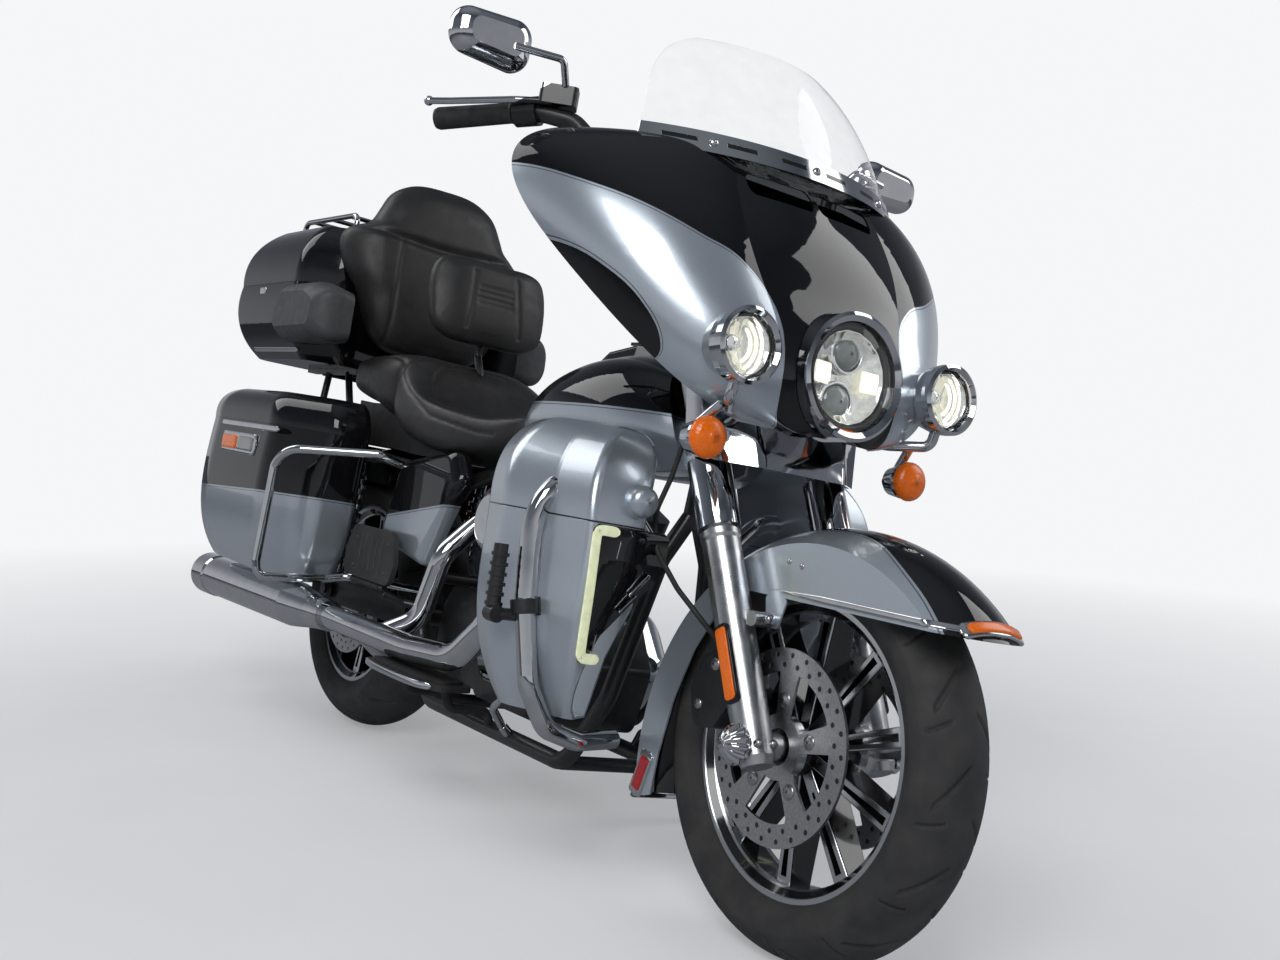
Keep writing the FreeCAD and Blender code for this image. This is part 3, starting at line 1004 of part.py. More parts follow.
node("exhaust_pipes", exhaust)
node("mufflers", [muffler(-MUFFLER_SIDE), muffler(MUFFLER_SIDE)])
node("side_bags", both(bag))
node("bag_lid_left", bag_lid)
node("bag_lid_right", mirrored(bag_lid))
node("bag_guards", both(bag_guard))
node("top_box_carrier", carrier)
node("speaker_pods", both(pod.cut(tub)))
node("lower_fairings", both(lower))
node("lower_grilles", both(grille))
node("engine_guard", both(guard.cut(frame)))
node("highway_pegs", both(peg))
node("rider_boards", both(board))
node("foot_controls", [brake_pedal, shifter])
node("pillion_board_left", pillion)
node("pillion_board_right", mirrored(pillion))
node("side_stand", stand)
node("tank_console", [console, filler_cap])
node("fuel_door", fuel_door)
node("side_covers", both(side_cover))
rear_signals = [signal.cut(rod(v(-150, -344, 566), v(150, -344, 566), 8 + CLEAR)) for signal in rear_signals]
node("rear_lamps", [tail_lamp] + rear_signals)
wheel_room = rod(v(-200, 0, REAR_AXLE_UP + 6), v(200, 0, REAR_AXLE_UP + 6), REAR_FENDER_RADIUS - 3)
rear_holder = fused([plate_holder, lamp_mount, lamp_bar_rear]).cut(wheel_room)
node("rear_fender", fused([rear_fender.cut(frame), rear_holder]))
seat_pan = flank_plate(-140, 140, [(700, 748), (560, 712), (430, 702), (330, 712), (302, 790), (-40, 790),
                                   (-46, 684), (170, 684), (330, 676), (470, 676), (620, 706)])
seat_pan = seat_pan.cut(frame).cut(rear_fender).cut(rider_seat).cut(pillion_seat)
seat_pan = largest(seat_pan.cut(fused(both(side_cover))))
node("seat_pan", seat_pan)
node("brake_hose", hose)
stay = largest(stay.cut(pad_back).cut(pillion_seat).cut(rider_seat))
brackets = both(pillion_bracket.cut(frame)) + [stand_bracket, stay]
node("frame_tubes", [frame] + brackets)

# Export: lean to the left, then stand on the floor under the middle of the bounding box
def leaned(solid):
    return solid.rotated(ORIGIN, FreeCAD.Vector(0, 1, 0), LEAN)


os.makedirs("parts", exist_ok=True)
finished = {name: Part.Compound([leaned(solid) for solid in solids])
            for name, solids in NODES.items()}
whole = FreeCAD.BoundBox()
for shape in finished.values():
    whole.add(shape.optimalBoundingBox(False, False))
SHIFT = FreeCAD.Vector(-(whole.XMin + whole.XMax) / 2, -(whole.YMin + whole.YMax) / 2, 0)
print("box", whole)
print("shift", SHIFT)
for name, shape in finished.items():
    shape.translate(SHIFT)
    shape.exportStep("parts/" + name + ".step")
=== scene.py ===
import math

import bpy
import numpy as np
from mathutils import Matrix, Vector

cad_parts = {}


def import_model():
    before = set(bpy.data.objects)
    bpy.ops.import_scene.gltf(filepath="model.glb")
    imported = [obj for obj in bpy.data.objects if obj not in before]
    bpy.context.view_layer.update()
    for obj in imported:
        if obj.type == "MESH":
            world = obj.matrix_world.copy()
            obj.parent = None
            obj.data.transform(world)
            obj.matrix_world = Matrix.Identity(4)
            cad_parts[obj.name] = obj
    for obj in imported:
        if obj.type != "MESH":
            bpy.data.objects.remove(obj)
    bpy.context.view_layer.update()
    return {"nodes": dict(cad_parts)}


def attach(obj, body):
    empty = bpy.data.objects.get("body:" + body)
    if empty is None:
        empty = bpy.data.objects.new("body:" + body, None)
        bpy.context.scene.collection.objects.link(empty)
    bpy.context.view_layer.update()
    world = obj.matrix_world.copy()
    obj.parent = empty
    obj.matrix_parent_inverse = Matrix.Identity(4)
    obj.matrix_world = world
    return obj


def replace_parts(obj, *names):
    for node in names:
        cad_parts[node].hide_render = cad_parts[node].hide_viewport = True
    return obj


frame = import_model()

LEAN = math.radians(9.58)
SHIFT = (-0.2169869861692315, 0.6501618698765719, 0.0)
NODES = frame["nodes"]
TURN = 2 * math.pi


# Frame: points are written upright as side, ahead and up in mm, then leaned and shifted
def world(points):
    """Rows of (side, ahead, up) in mm to metres in the leaned frame."""
    p = np.asarray(points, float).reshape(-1, 3) / 1000
    x, y, z = p[:, 0], -p[:, 1], p[:, 2]
    c, s = math.cos(LEAN), math.sin(LEAN)
    return np.stack([x * c + z * s + SHIFT[0], y + SHIFT[1], -x * s + z * c + SHIFT[2]], 1)


def unit(vectors):
    """Each row divided by its length."""
    v = np.asarray(vectors, float)
    return v / np.linalg.norm(v, axis=-1, keepdims=True)


# Meshes from grids of points
def volume_sign(points, quads):
    """Sum of the signed volumes between four-sided faces and the points' middle."""
    a, b, c, d = (points[quads[:, k]] - points.mean(0) for k in range(4))
    return (np.einsum("ij,ij->i", a, np.cross(b, c)) + np.einsum("ij,ij->i", a, np.cross(c, d))).sum()


def ring_faces(rows, ring, loop):
    """Four-sided faces between neighbouring rings, and the caps unless the rings loop."""
    i, j = np.meshgrid(np.arange(rows if loop else rows - 1), np.arange(ring), indexing="ij")
    k, m = (i + 1) % rows, (j + 1) % ring
    quads = np.stack([i * ring + j, k * ring + j, k * ring + m, i * ring + m], -1).reshape(-1, 4)
    caps = [] if loop else [list(range(ring))[::-1], list(range((rows - 1) * ring, rows * ring))]
    return quads, caps


def shown(name, data):
    """New object in the scene."""
    made = bpy.data.objects.new(name, data)
    bpy.context.scene.collection.objects.link(made)
    return made


def piece(name, points, faces, finish, body):
    """Object from rows of (side, ahead, up) and faces, outward, riding on a body."""
    p = np.asarray(points, float).reshape(-1, 3)
    if volume_sign(p, np.array([f for f in faces if len(f) == 4], int)) > 0:
        faces = [f[::-1] for f in faces]
    mesh = bpy.data.meshes.new(name)
    mesh.from_pydata(world(p).tolist(), [], faces)
    mesh.materials.append(finish)
    mesh.polygons.foreach_set("use_smooth", np.full(len(mesh.polygons), True))
    mesh.update()
    made = shown(name, mesh)
    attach(made, body)
    return made


def skin(name, grid, finish, body, loop=False):
    """Closed form of rings: grid[i, j] is point j of ring i. It is capped unless it loops."""
    quads, caps = ring_faces(*grid.shape[:2], loop)
    return piece(name, grid, quads.tolist() + caps, finish, body)


def oval(width, height, power=2.0, count=16):
    """Closed profile x = w/2 sgn(c)|c|^(2/p), y = h/2 sgn(s)|s|^(2/p) for c, s of an angle."""
    t = np.arange(count) * TURN / count
    c, s = np.cos(t), np.sin(t)
    return np.stack([width / 2 * np.sign(c) * abs(c) ** (2 / power),
                     height / 2 * np.sign(s) * abs(s) ** (2 / power)], 1)


def carried(path, outward, profile):
    """Grid of a profile carried along a path: path_i + across_i x_j + out_i y_j."""
    path = np.asarray(path, float)
    tangent = unit(np.gradient(path, axis=0))
    out = np.broadcast_to(np.asarray(outward, float), path.shape)
    out = unit(out - tangent * np.einsum("ij,ij->i", out, tangent)[:, None])
    across = np.cross(tangent, out)
    return path[:, None] + across[:, None] * profile[None, :, :1] + out[:, None] * profile[None, :, 1:]


def turned_grid(base, axis, profile, count=48, wave=0.0, waves=0):
    """Rings base + axis z + (e cos t + f sin t) r (1 + wave cos(waves t)) for rows (z, r)."""
    axis = unit(axis)
    e = unit(np.cross(axis, (0.0, 0.0, 1.0) if abs(axis[2]) < 0.9 else (1.0, 0.0, 0.0)))
    f = np.cross(axis, e)
    t = np.arange(count) * TURN / count
    rows = np.asarray(profile, float)
    ring = e * np.cos(t)[:, None] + f * np.sin(t)[:, None]
    swell = 1 + wave * np.cos(waves * t)[None, :, None]
    return np.asarray(base, float) + axis * rows[:, :1, None] + ring[None] * rows[:, 1:, None] * swell


def curve(points, count):
    """Smooth path through given points: a uniform Catmull-Rom spline."""
    p = np.asarray(points, float)
    p = np.vstack([2 * p[0] - p[1], p, 2 * p[-1] - p[-2]])
    t = np.linspace(0, len(p) - 3 - 1e-9, count)
    k = t.astype(int)
    s = (t - k)[:, None]
    a, b, c, d = p[k], p[k + 1], p[k + 2], p[k + 3]
    return 0.5 * (2 * b + (c - a) * s + (2 * a - 5 * b + 4 * c - d) * s ** 2
                  + (3 * b - a - 3 * c + d) * s ** 3)


def other_side(grid):
    """The same grid mirrored to the other side."""
    return np.asarray(grid, float) * (-1.0, 1.0, 1.0)


# Material helpers
def new_material(name):
    """Empty Principled material: returns it with its node tree and shader."""
    material = bpy.data.materials.new(name)
    material.use_nodes = True
    tree = material.node_tree
    shader = next(n for n in tree.nodes if n.type == "BSDF_PRINCIPLED")
    return material, tree, shader


def add(tree, kind, **values):
    """Adds a node; values set its properties or its numbered or named inputs."""
    made = tree.nodes.new(kind)
    for key, value in values.items():
        if key.startswith("i_"):
            key = key[2:]
            made.inputs[int(key) if key.isdigit() else key.replace("_", " ")].default_value = value
        else:
            setattr(made, key, value)
    return made


def link(tree, source, target):
    """Links two sockets."""
    tree.links.new(source, target)


def maths(tree, operation, *values):
    """Math node on sockets or numbers; returns its output."""
    made = add(tree, "ShaderNodeMath", operation=operation)
    for index, value in enumerate(values):
        if isinstance(value, (int, float)):
            made.inputs[index].default_value = value
        else:
            link(tree, value, made.inputs[index])
    return made.outputs[0]


def upright(tree):
    """Sockets of side, ahead and up in metres, before the lean."""
    coords = add(tree, "ShaderNodeTexCoord")
    turn = add(tree, "ShaderNodeMapping")
    turn.inputs["Rotation"].default_value = (0, -LEAN, 0)
    c, s = math.cos(LEAN), math.sin(LEAN)
    turn.inputs["Location"].default_value = (-(SHIFT[0] * c), -SHIFT[1], -(SHIFT[0] * s))
    link(tree, coords.outputs["Object"], turn.inputs["Vector"])
    split = add(tree, "ShaderNodeSeparateXYZ")
    link(tree, turn.outputs[0], split.inputs[0])
    ahead = maths(tree, "MULTIPLY", split.outputs[1], -1.0)
    return split.outputs[0], ahead, split.outputs[2]


def objects(tree):
    """Object coordinates."""
    return add(tree, "ShaderNodeTexCoord").outputs["Object"]


def noise(tree, vector, scale, detail=3, rough=0.5):
    """Noise texture output."""
    made = add(tree, "ShaderNodeTexNoise", i_Scale=scale, i_Detail=detail, i_Roughness=rough)
    link(tree, vector, made.inputs["Vector"])
    return made.outputs["Fac"]


def spread(tree, value, low, high, new_low=0.0, new_high=1.0):
    """Value mapped from one range to another, held at the ends."""
    made = add(tree, "ShaderNodeMapRange", i_1=low, i_2=high, i_3=new_low, i_4=new_high)
    link(tree, value, made.inputs[0])
    return made.outputs[0]


def lookup(tree, value, points):
    """Smooth curve through (value, result) points."""
    made = add(tree, "ShaderNodeFloatCurve")
    line = made.mapping.curves[0]
    low, high = points[0][0], points[-1][0]
    for index, (x, y) in enumerate(points):
        place = ((x - low) / (high - low), y)
        if index in (0, len(points) - 1):
            line.points[0 if index == 0 else -1].location = place
        else:
            line.points.new(*place)
    made.mapping.update()
    link(tree, spread(tree, value, low, high), made.inputs["Value"])
    return made.outputs[0]


def ramp(tree, value, stops):
    """Colour ramp with (position, colour) stops."""
    made = add(tree, "ShaderNodeValToRGB")
    element = made.color_ramp.elements
    while len(element) < len(stops):
        element.new(0.5)
    for item, (place, colour) in zip(element, stops):
        item.position = place
        item.color = (*colour, 1)
    link(tree, value, made.inputs[0])
    return made.outputs[0]


def mixed(tree, share, low, high):
    """Colour between two colours or sockets by a share."""
    made = add(tree, "ShaderNodeMix", data_type="RGBA")
    link(tree, share, made.inputs[0])
    for index, value in ((6, low), (7, high)):
        if isinstance(value, tuple):
            made.inputs[index].default_value = (*value, 1)
        else:
            link(tree, value, made.inputs[index])
    return made.outputs[2]


def bump(tree, height, strength, distance, shader):
    """Bump of a height on the shader, over any bump that is there."""
    made = add(tree, "ShaderNodeBump", i_Strength=strength, i_Distance=distance)
    link(tree, height, made.inputs["Height"])
    if shader.inputs["Normal"].links:
        link(tree, shader.inputs["Normal"].links[0].from_socket, made.inputs["Normal"])
    link(tree, made.outputs[0], shader.inputs["Normal"])


def mottled(tree, coords, scale, detail, low, high):
    """Colour that noise varies between two tones."""
    return ramp(tree, noise(tree, coords, scale, detail), [(0.3, low), (0.7, high)])


def settle(tree, shader, **values):
    """Sets or links inputs of a shader by name, with _ for a space."""
    for key, value in values.items():
        socket = shader.inputs[key.replace("_", " ")]
        if isinstance(value, bpy.types.NodeSocket):
            link(tree, value, socket)
        else:
            socket.default_value = value


def rest(tree, share):
    """One minus a share."""
    return maths(tree, "SUBTRACT", 1.0, share)


def hypotenuse(tree, a, b):
    """Square root of a^2 + b^2."""
    squares = [maths(tree, "MULTIPLY", t, t) for t in (a, b)]
    return maths(tree, "SQRT", maths(tree, "ADD", *squares))


COAT_ROUGHNESS = 0.03


def surface(name, low, high, rough, metallic=0.0, scale=60, grain=0.0, grain_size=900, coat=0.0, **more):
    """Material with colour varied by noise between two tones, rough range and fine grain."""
    material, tree, shader = new_material(name)
    coords = objects(tree)
    haze = spread(tree, noise(tree, coords, scale * 0.6, 5), 0.3, 0.7, *rough)
    settle(tree, shader, Base_Color=mottled(tree, coords, scale, 4, low, high), Roughness=haze,
           Metallic=metallic, Coat_Weight=coat, Coat_Roughness=COAT_ROUGHNESS, **more)
    if grain:
        bump(tree, noise(tree, coords, grain_size, 2), 1.0, grain, shader)
    return material


CHROME_TONES = ((0.56, 0.57, 0.59), (0.64, 0.65, 0.66))
CHROME = surface("chrome", *CHROME_TONES, (0.03, 0.08), 1.0, scale=25)
PRESSED_CHROME = surface("pressed_chrome", *CHROME_TONES, (0.04, 0.09), 1.0, scale=25, grain=0.003,
                         grain_size=11)
BLACK = surface("gloss_black", (0.005, 0.005, 0.006), (0.008, 0.008, 0.009), (0.03, 0.06), scale=30)
BLACK_METAL = surface("black_metal", (0.010, 0.010, 0.011), (0.018, 0.018, 0.019), (0.28, 0.42), coat=0.2,
                      grain=0.00002, grain_size=1800)
PLASTIC = surface("black_plastic", (0.014, 0.014, 0.015), (0.022, 0.022, 0.023), (0.40, 0.55),
                  grain=0.00004, grain_size=1400)
ALUMINIUM = surface("aluminium", (0.46, 0.47, 0.48), (0.58, 0.59, 0.60), (0.24, 0.38), 1.0, scale=40)
STEEL = surface("steel", (0.36, 0.36, 0.37), (0.46, 0.46, 0.47), (0.22, 0.34), 1.0, scale=90)
RUBBER = surface("rubber", (0.013, 0.013, 0.013), (0.024, 0.024, 0.024), (0.55, 0.75), grain=0.00005,
                 grain_size=1200)
GREY_RUBBER = surface("tyre_rubber", (0.022, 0.022, 0.023), (0.040, 0.039, 0.038), (0.62, 0.82), scale=22,
                      grain=0.00008, grain_size=900)
GREY_PLASTIC = surface("grey_plastic", (0.045, 0.047, 0.050), (0.060, 0.062, 0.065), (0.45, 0.6),
                       grain=0.00004, grain_size=1600)


def leather():
    """Black leather: fine cells, soft creases whose hollows are darkened with painted shade, duller where it
    is stretched.
    """
    material, tree, shader = new_material("leather")
    coords = objects(tree)
    cells = add(tree, "ShaderNodeTexVoronoi", feature="DISTANCE_TO_EDGE", i_Scale=520.0)
    link(tree, coords, cells.inputs["Vector"])
    crease = noise(tree, coords, 14, 6, 0.62)
    # Painted shade: the colour follows the crease height and is darker in the hollows of the creases.
    tone = ramp(tree, crease, [(0.3, (0.010, 0.010, 0.010)), (0.75, (0.022, 0.021, 0.021))])
    haze = spread(tree, noise(tree, coords, 45, 4), 0.3, 0.7, 0.34, 0.5)
    settle(tree, shader, Base_Color=tone, Roughness=haze)
    bump(tree, spread(tree, cells.outputs["Distance"], 0.0, 0.22), 0.5, 0.0002, shader)
    bump(tree, crease, 0.5, 0.0012, shader)
    return material


LEATHER = leather()

SILVER_LOW = (0.42, 0.475, 0.53)
SILVER_HIGH = (0.56, 0.615, 0.67)
GLOSS_BLACK = (0.006, 0.006, 0.007)
PINSTRIPE = (0.13, 0.15, 0.18)
PINSTRIPE_GAP = 0.0045
PINSTRIPE_HALF = 0.0009
FLAKE_METAL = 0.72


def paint(name, black=None, seam=None):
    """Silver flake paint under clear coat; black(tree, side, ahead, up) is above zero in the
    black field, and seam is zero along a panel joint."""
    material, tree, shader = new_material(name)
    flake = add(tree, "ShaderNodeTexVoronoi", i_Scale=2600)
    link(tree, objects(tree), flake.inputs["Vector"])
    tone = ramp(tree, flake.outputs["Color"], [(0.0, SILVER_LOW), (1.0, SILVER_HIGH)])
    settle(tree, shader, Metallic=FLAKE_METAL, Roughness=0.28, Coat_Weight=1.0,
           Coat_Roughness=COAT_ROUGHNESS)
    if black or seam:
        side, ahead, up = upright(tree)
        side = maths(tree, "ABSOLUTE", side)
    if black:
        field = black(tree, side, ahead, up)
        stripe = maths(tree, "ABSOLUTE", maths(tree, "ADD", field, PINSTRIPE_GAP))
        tone = mixed(tree, maths(tree, "LESS_THAN", stripe, PINSTRIPE_HALF), tone, PINSTRIPE)
        dark = maths(tree, "GREATER_THAN", field, 0.0)
        tone = mixed(tree, dark, tone, GLOSS_BLACK)
        light = rest(tree, dark)
        settle(tree, shader, Metallic=maths(tree, "MULTIPLY", light, FLAKE_METAL),
               Specular_IOR_Level=maths(tree, "MULTIPLY", light, 0.5))
    if seam:
        gap = spread(tree, maths(tree, "ABSOLUTE", seam(tree, side, ahead, up)), 0.0006, 0.0016)
        tone = mixed(tree, gap, (0.01, 0.01, 0.01), tone)
        bump(tree, gap, 1.0, 0.002, shader)
    settle(tree, shader, Base_Color=tone)
    return material


def fairing_field(tree, side, ahead, up):
    """Black crown of the fairing and the black panel under its silver flank."""
    crown = lookup(tree, side, [(0.0, 0.0), (0.118, 0.02), (0.129, 0.153), (0.141, 0.199), (0.181, 0.251),
                                (0.253, 0.283), (0.333, 0.318), (0.400, 0.343), (0.450, 0.365), (0.5, 0.38)])
    crown = maths(tree, "SUBTRACT", up, maths(tree, "ADD", crown, 0.8))
    panel = lookup(tree, side, [(0.0, 0.0), (0.262, 0.0), (0.285, 0.088), (0.324, 0.159), (0.371, 0.210),
                                (0.406, 0.238), (0.45, 0.262), (0.5, 0.27)])
    panel = maths(tree, "SUBTRACT", maths(tree, "ADD", panel, 0.8), up)
    return maths(tree, "MAXIMUM", crown, panel)


def fender_field(tree, side, ahead, up):
    """Black blade along the middle of the front fender, wider at its tip."""
    half = lookup(tree, ahead, [(1.30, 0.030), (1.50, 0.040), (1.65, 0.046), (1.715, 0.047), (1.816, 0.068),
                                (1.872, 0.074), (1.95, 0.082)])
    return maths(tree, "SUBTRACT", half, side)


def above(level, slope=0.0, start=0.0):
    """Field that is black above a line: up - level - slope (ahead - start)."""
    def field(tree, side, ahead, up):
        line = maths(tree, "MULTIPLY", maths(tree, "SUBTRACT", ahead, start), slope)
        return maths(tree, "SUBTRACT", maths(tree, "SUBTRACT", up, line), level)
    return field


SILVER = paint("silver_paint")
FAIRING_PAINT = paint("fairing_paint", fairing_field)
FENDER_PAINT = paint("fender_paint", fender_field)
TANK_PAINT = paint("tank_paint", above(0.812))
BAG_PAINT = paint("bag_paint", above(0.528, 0.046, -0.09))
COVER_PAINT = paint("side_cover_paint", above(0.545, 0.177, 0.394))
LOWER_PAINT = paint("lower_fairing_paint", seam=above(0.608))


def glass(name, colour, rough=0.02, ior=1.45):
    """Clear or tinted lens."""
    material, tree, shader = new_material(name)
    light = tuple(min(1.0, c * 1.05) for c in colour)
    settle(tree, shader, Base_Color=mottled(tree, objects(tree), 30, 2, colour, light),
           Transmission_Weight=1.0, Roughness=rough, IOR=ior)
    return material


SHIELD = glass("clear_shield", (0.93, 0.94, 0.95), 0.01, 1.12)
RED_LENS = glass("red_lens", (0.62, 0.02, 0.02), 0.06)


def lamp_glass():
    """Clear headlamp glass; the low bullet signals are amber and ribbed."""
    material, tree, shader = new_material("lamp_glass")
    side, ahead, up = upright(tree)
    low = maths(tree, "LESS_THAN", up, 0.82)
    ribs = maths(tree, "MULTIPLY", maths(tree, "SINE", maths(tree, "MULTIPLY", up, 1400.0)), low)
    bump(tree, ribs, 0.6, 0.0006, shader)
    settle(tree, shader, Base_Color=mixed(tree, low, (0.95, 0.96, 0.97), (1.0, 0.24, 0.01)),
           Emission_Color=mixed(tree, low, (0.0, 0.0, 0.0), (0.55, 0.11, 0.0)), Emission_Strength=0.5,
           Transmission_Weight=1.0, Roughness=0.03, IOR=1.3)
    return material


LENS = lamp_glass()


def glow(name, colour, strength, scale=90):
    """Lit lamp element, a little uneven."""
    material, tree, shader = new_material(name)
    dim = tuple(c * 0.8 for c in colour)
    tone = mottled(tree, objects(tree), scale, 2, dim, colour)
    settle(tree, shader, Emission_Color=tone, Base_Color=tone, Emission_Strength=strength, Roughness=0.3)
    return material


LIT = glow("lit_crescent", (1.0, 0.96, 0.84), 0.85)
LIGHT_STRIP = glow("light_strip", (0.80, 0.84, 0.55), 0.35)
MIRROR_LAMP = surface("lamp_reflector", (0.52, 0.53, 0.50), (0.70, 0.71, 0.67), (0.05, 0.12), 1.0, scale=60,
                      Emission_Color=(0.9, 0.92, 0.85, 1.0), Emission_Strength=0.02)
PROJECTOR = surface("projector_lens", (0.10, 0.12, 0.115), (0.17, 0.19, 0.18), (0.02, 0.05), coat=1.0,
                    scale=20)
AMBER = surface("amber_reflector", (0.80, 0.13, 0.0), (0.92, 0.18, 0.0), (0.14, 0.22), coat=0.3, scale=300,
                grain=0.0003, grain_size=700)
RED = surface("red_reflector", (0.34, 0.006, 0.008), (0.44, 0.01, 0.014), (0.12, 0.2), coat=0.3, scale=300,
              grain=0.0003, grain_size=700)
GAUGE = surface("gauge_face", (0.012, 0.012, 0.014), (0.03, 0.03, 0.033), (0.2, 0.3), coat=1.0, scale=120)
MIRROR_GLASS = surface("mirror_glass", (0.86, 0.87, 0.88), (0.90, 0.91, 0.92), (0.01, 0.02), 1.0, scale=8)

FRONT_AXLE = (0.0, 1625.0, 321.0)
REAR_AXLE = (0.0, 0.0, 321.4)


def from_axle(tree, axle):
    """Sockets of distance from a wheel's axle, angle round it, and distance from its middle."""
    side, ahead, up = upright(tree)
    a = maths(tree, "SUBTRACT", ahead, axle[1] / 1000)
    u = maths(tree, "SUBTRACT", up, axle[2] / 1000)
    return hypotenuse(tree, a, u), maths(tree, "ARCTAN2", a, u), maths(tree, "ABSOLUTE", side)


FACE_DEPTH = 0.0012
HUB_MARGIN = 0.012
BAND_WIDTH = 0.0095


def wheel_finish(name, axle, flange, spoke_rows):
    """Black casting with machined faces: the flange band and the outer faces of the spokes,
    whose half depth goes straight from spoke_rows[0] to spoke_rows[1] as (out, depth)."""
    material, tree, shader = new_material(name)
    out, _, side = from_axle(tree, axle)
    (low, deep), (high, shallow) = spoke_rows
    face = spread(tree, out, low, high, deep - FACE_DEPTH, shallow - FACE_DEPTH)
    spoke = maths(tree, "MULTIPLY", maths(tree, "GREATER_THAN", side, face),
                  maths(tree, "LESS_THAN", out, high))
    spoke = maths(tree, "MULTIPLY", spoke, maths(tree, "GREATER_THAN", out, low + HUB_MARGIN))
    band = maths(tree, "GREATER_THAN", out, flange - BAND_WIDTH)
    bright = maths(tree, "MAXIMUM", spoke, band)
    rings = maths(tree, "SINE", maths(tree, "MULTIPLY", out, 9000.0))
    machined = ramp(tree, rings, [(0.0, (0.50, 0.51, 0.52)), (1.0, (0.60, 0.61, 0.62))])
    settle(tree, shader, Base_Color=mixed(tree, bright, GLOSS_BLACK, machined), Metallic=bright,
           Roughness=spread(tree, bright, 0.0, 1.0, 0.12, 0.22), Coat_Weight=0.5)
    return material


DISC_HOLES = 26
HOLE_EDGE = (0.0036, 0.0044)


def disc_finish(name, axle):
    """Steel brake disc: turning marks and two staggered rows of drilled holes."""
    material, tree, shader = new_material(name)
    out, angle, _ = from_axle(tree, axle)
    turns = maths(tree, "MULTIPLY", angle, DISC_HOLES / TURN)
    holes = None
    for radius, offset in ((0.1245, 0.0), (0.1395, 0.5)):
        part = maths(tree, "SUBTRACT", maths(tree, "FRACT", maths(tree, "ADD", turns, 50 + offset)), 0.5)
        along = maths(tree, "MULTIPLY", part, TURN * radius / DISC_HOLES)
        off = maths(tree, "SUBTRACT", out, radius)
        hole = spread(tree, hypotenuse(tree, along, off), *HOLE_EDGE, 1.0, 0.0)
        holes = hole if holes is None else maths(tree, "MAXIMUM", holes, hole)
    steel = mottled(tree, objects(tree), 240, 2, (0.36, 0.36, 0.37), (0.48, 0.48, 0.49))
    solid = rest(tree, holes)
    settle(tree, shader, Base_Color=mixed(tree, holes, steel, (0.01, 0.01, 0.01)), Metallic=solid,
           Roughness=0.3)
    bump(tree, maths(tree, "SINE", maths(tree, "MULTIPLY", out, 5200.0)), 0.15, 0.0002, shader)
    bump(tree, solid, 1.0, 0.0015, shader)
    return material


SLOTS_PER_METRE = 10.5


def trim_finish():
    """Chrome windshield strip with black slots between its bolts."""
    material, tree, shader = new_material("slotted_chrome")
    side, ahead, up = upright(tree)
    turn = maths(tree, "FRACT", maths(tree, "MULTIPLY_ADD", side, SLOTS_PER_METRE, 20.0))
    place = maths(tree, "ABSOLUTE", maths(tree, "SUBTRACT", turn, 0.5))
    middle = lookup(tree, maths(tree, "ABSOLUTE", side), [(0.0, 0.257), (0.15, 0.2575), (0.3, 0.2595)])
    height = maths(tree, "ABSOLUTE", maths(tree, "SUBTRACT", up, maths(tree, "ADD", middle, 1.0)))
    slot = maths(tree, "MULTIPLY", maths(tree, "LESS_THAN", place, 0.26),
                 maths(tree, "LESS_THAN", height, 0.0042))
    solid = rest(tree, slot)
    settle(tree, shader, Base_Color=mixed(tree, slot, (0.6, 0.61, 0.62), (0.01, 0.01, 0.01)),
           Metallic=solid, Roughness=0.08)
    bump(tree, solid, 1.0, 0.001, shader)
    return material


BOXES_AHEAD = 0.975
LEVERS_OUT = 1.704


def controls_finish():
    """Chrome levers, where |side| + up is over LEVERS_OUT; the rest ahead of BOXES_AHEAD is black."""
    material, tree, shader = new_material("controls")
    side, ahead, up = upright(tree)
    reach = maths(tree, "ADD", maths(tree, "ABSOLUTE", side), up)
    box = maths(tree, "GREATER_THAN", ahead, BOXES_AHEAD)
    dark = maths(tree, "MULTIPLY", box, rest(tree, maths(tree, "GREATER_THAN", reach, LEVERS_OUT)))
    chrome = mottled(tree, objects(tree), 60, 3, (0.58, 0.59, 0.60), (0.64, 0.65, 0.66))
    settle(tree, shader, Base_Color=mixed(tree, dark, chrome, (0.012, 0.012, 0.013)),
           Metallic=rest(tree, dark), Roughness=spread(tree, dark, 0.0, 1.0, 0.08, 0.25))
    return material


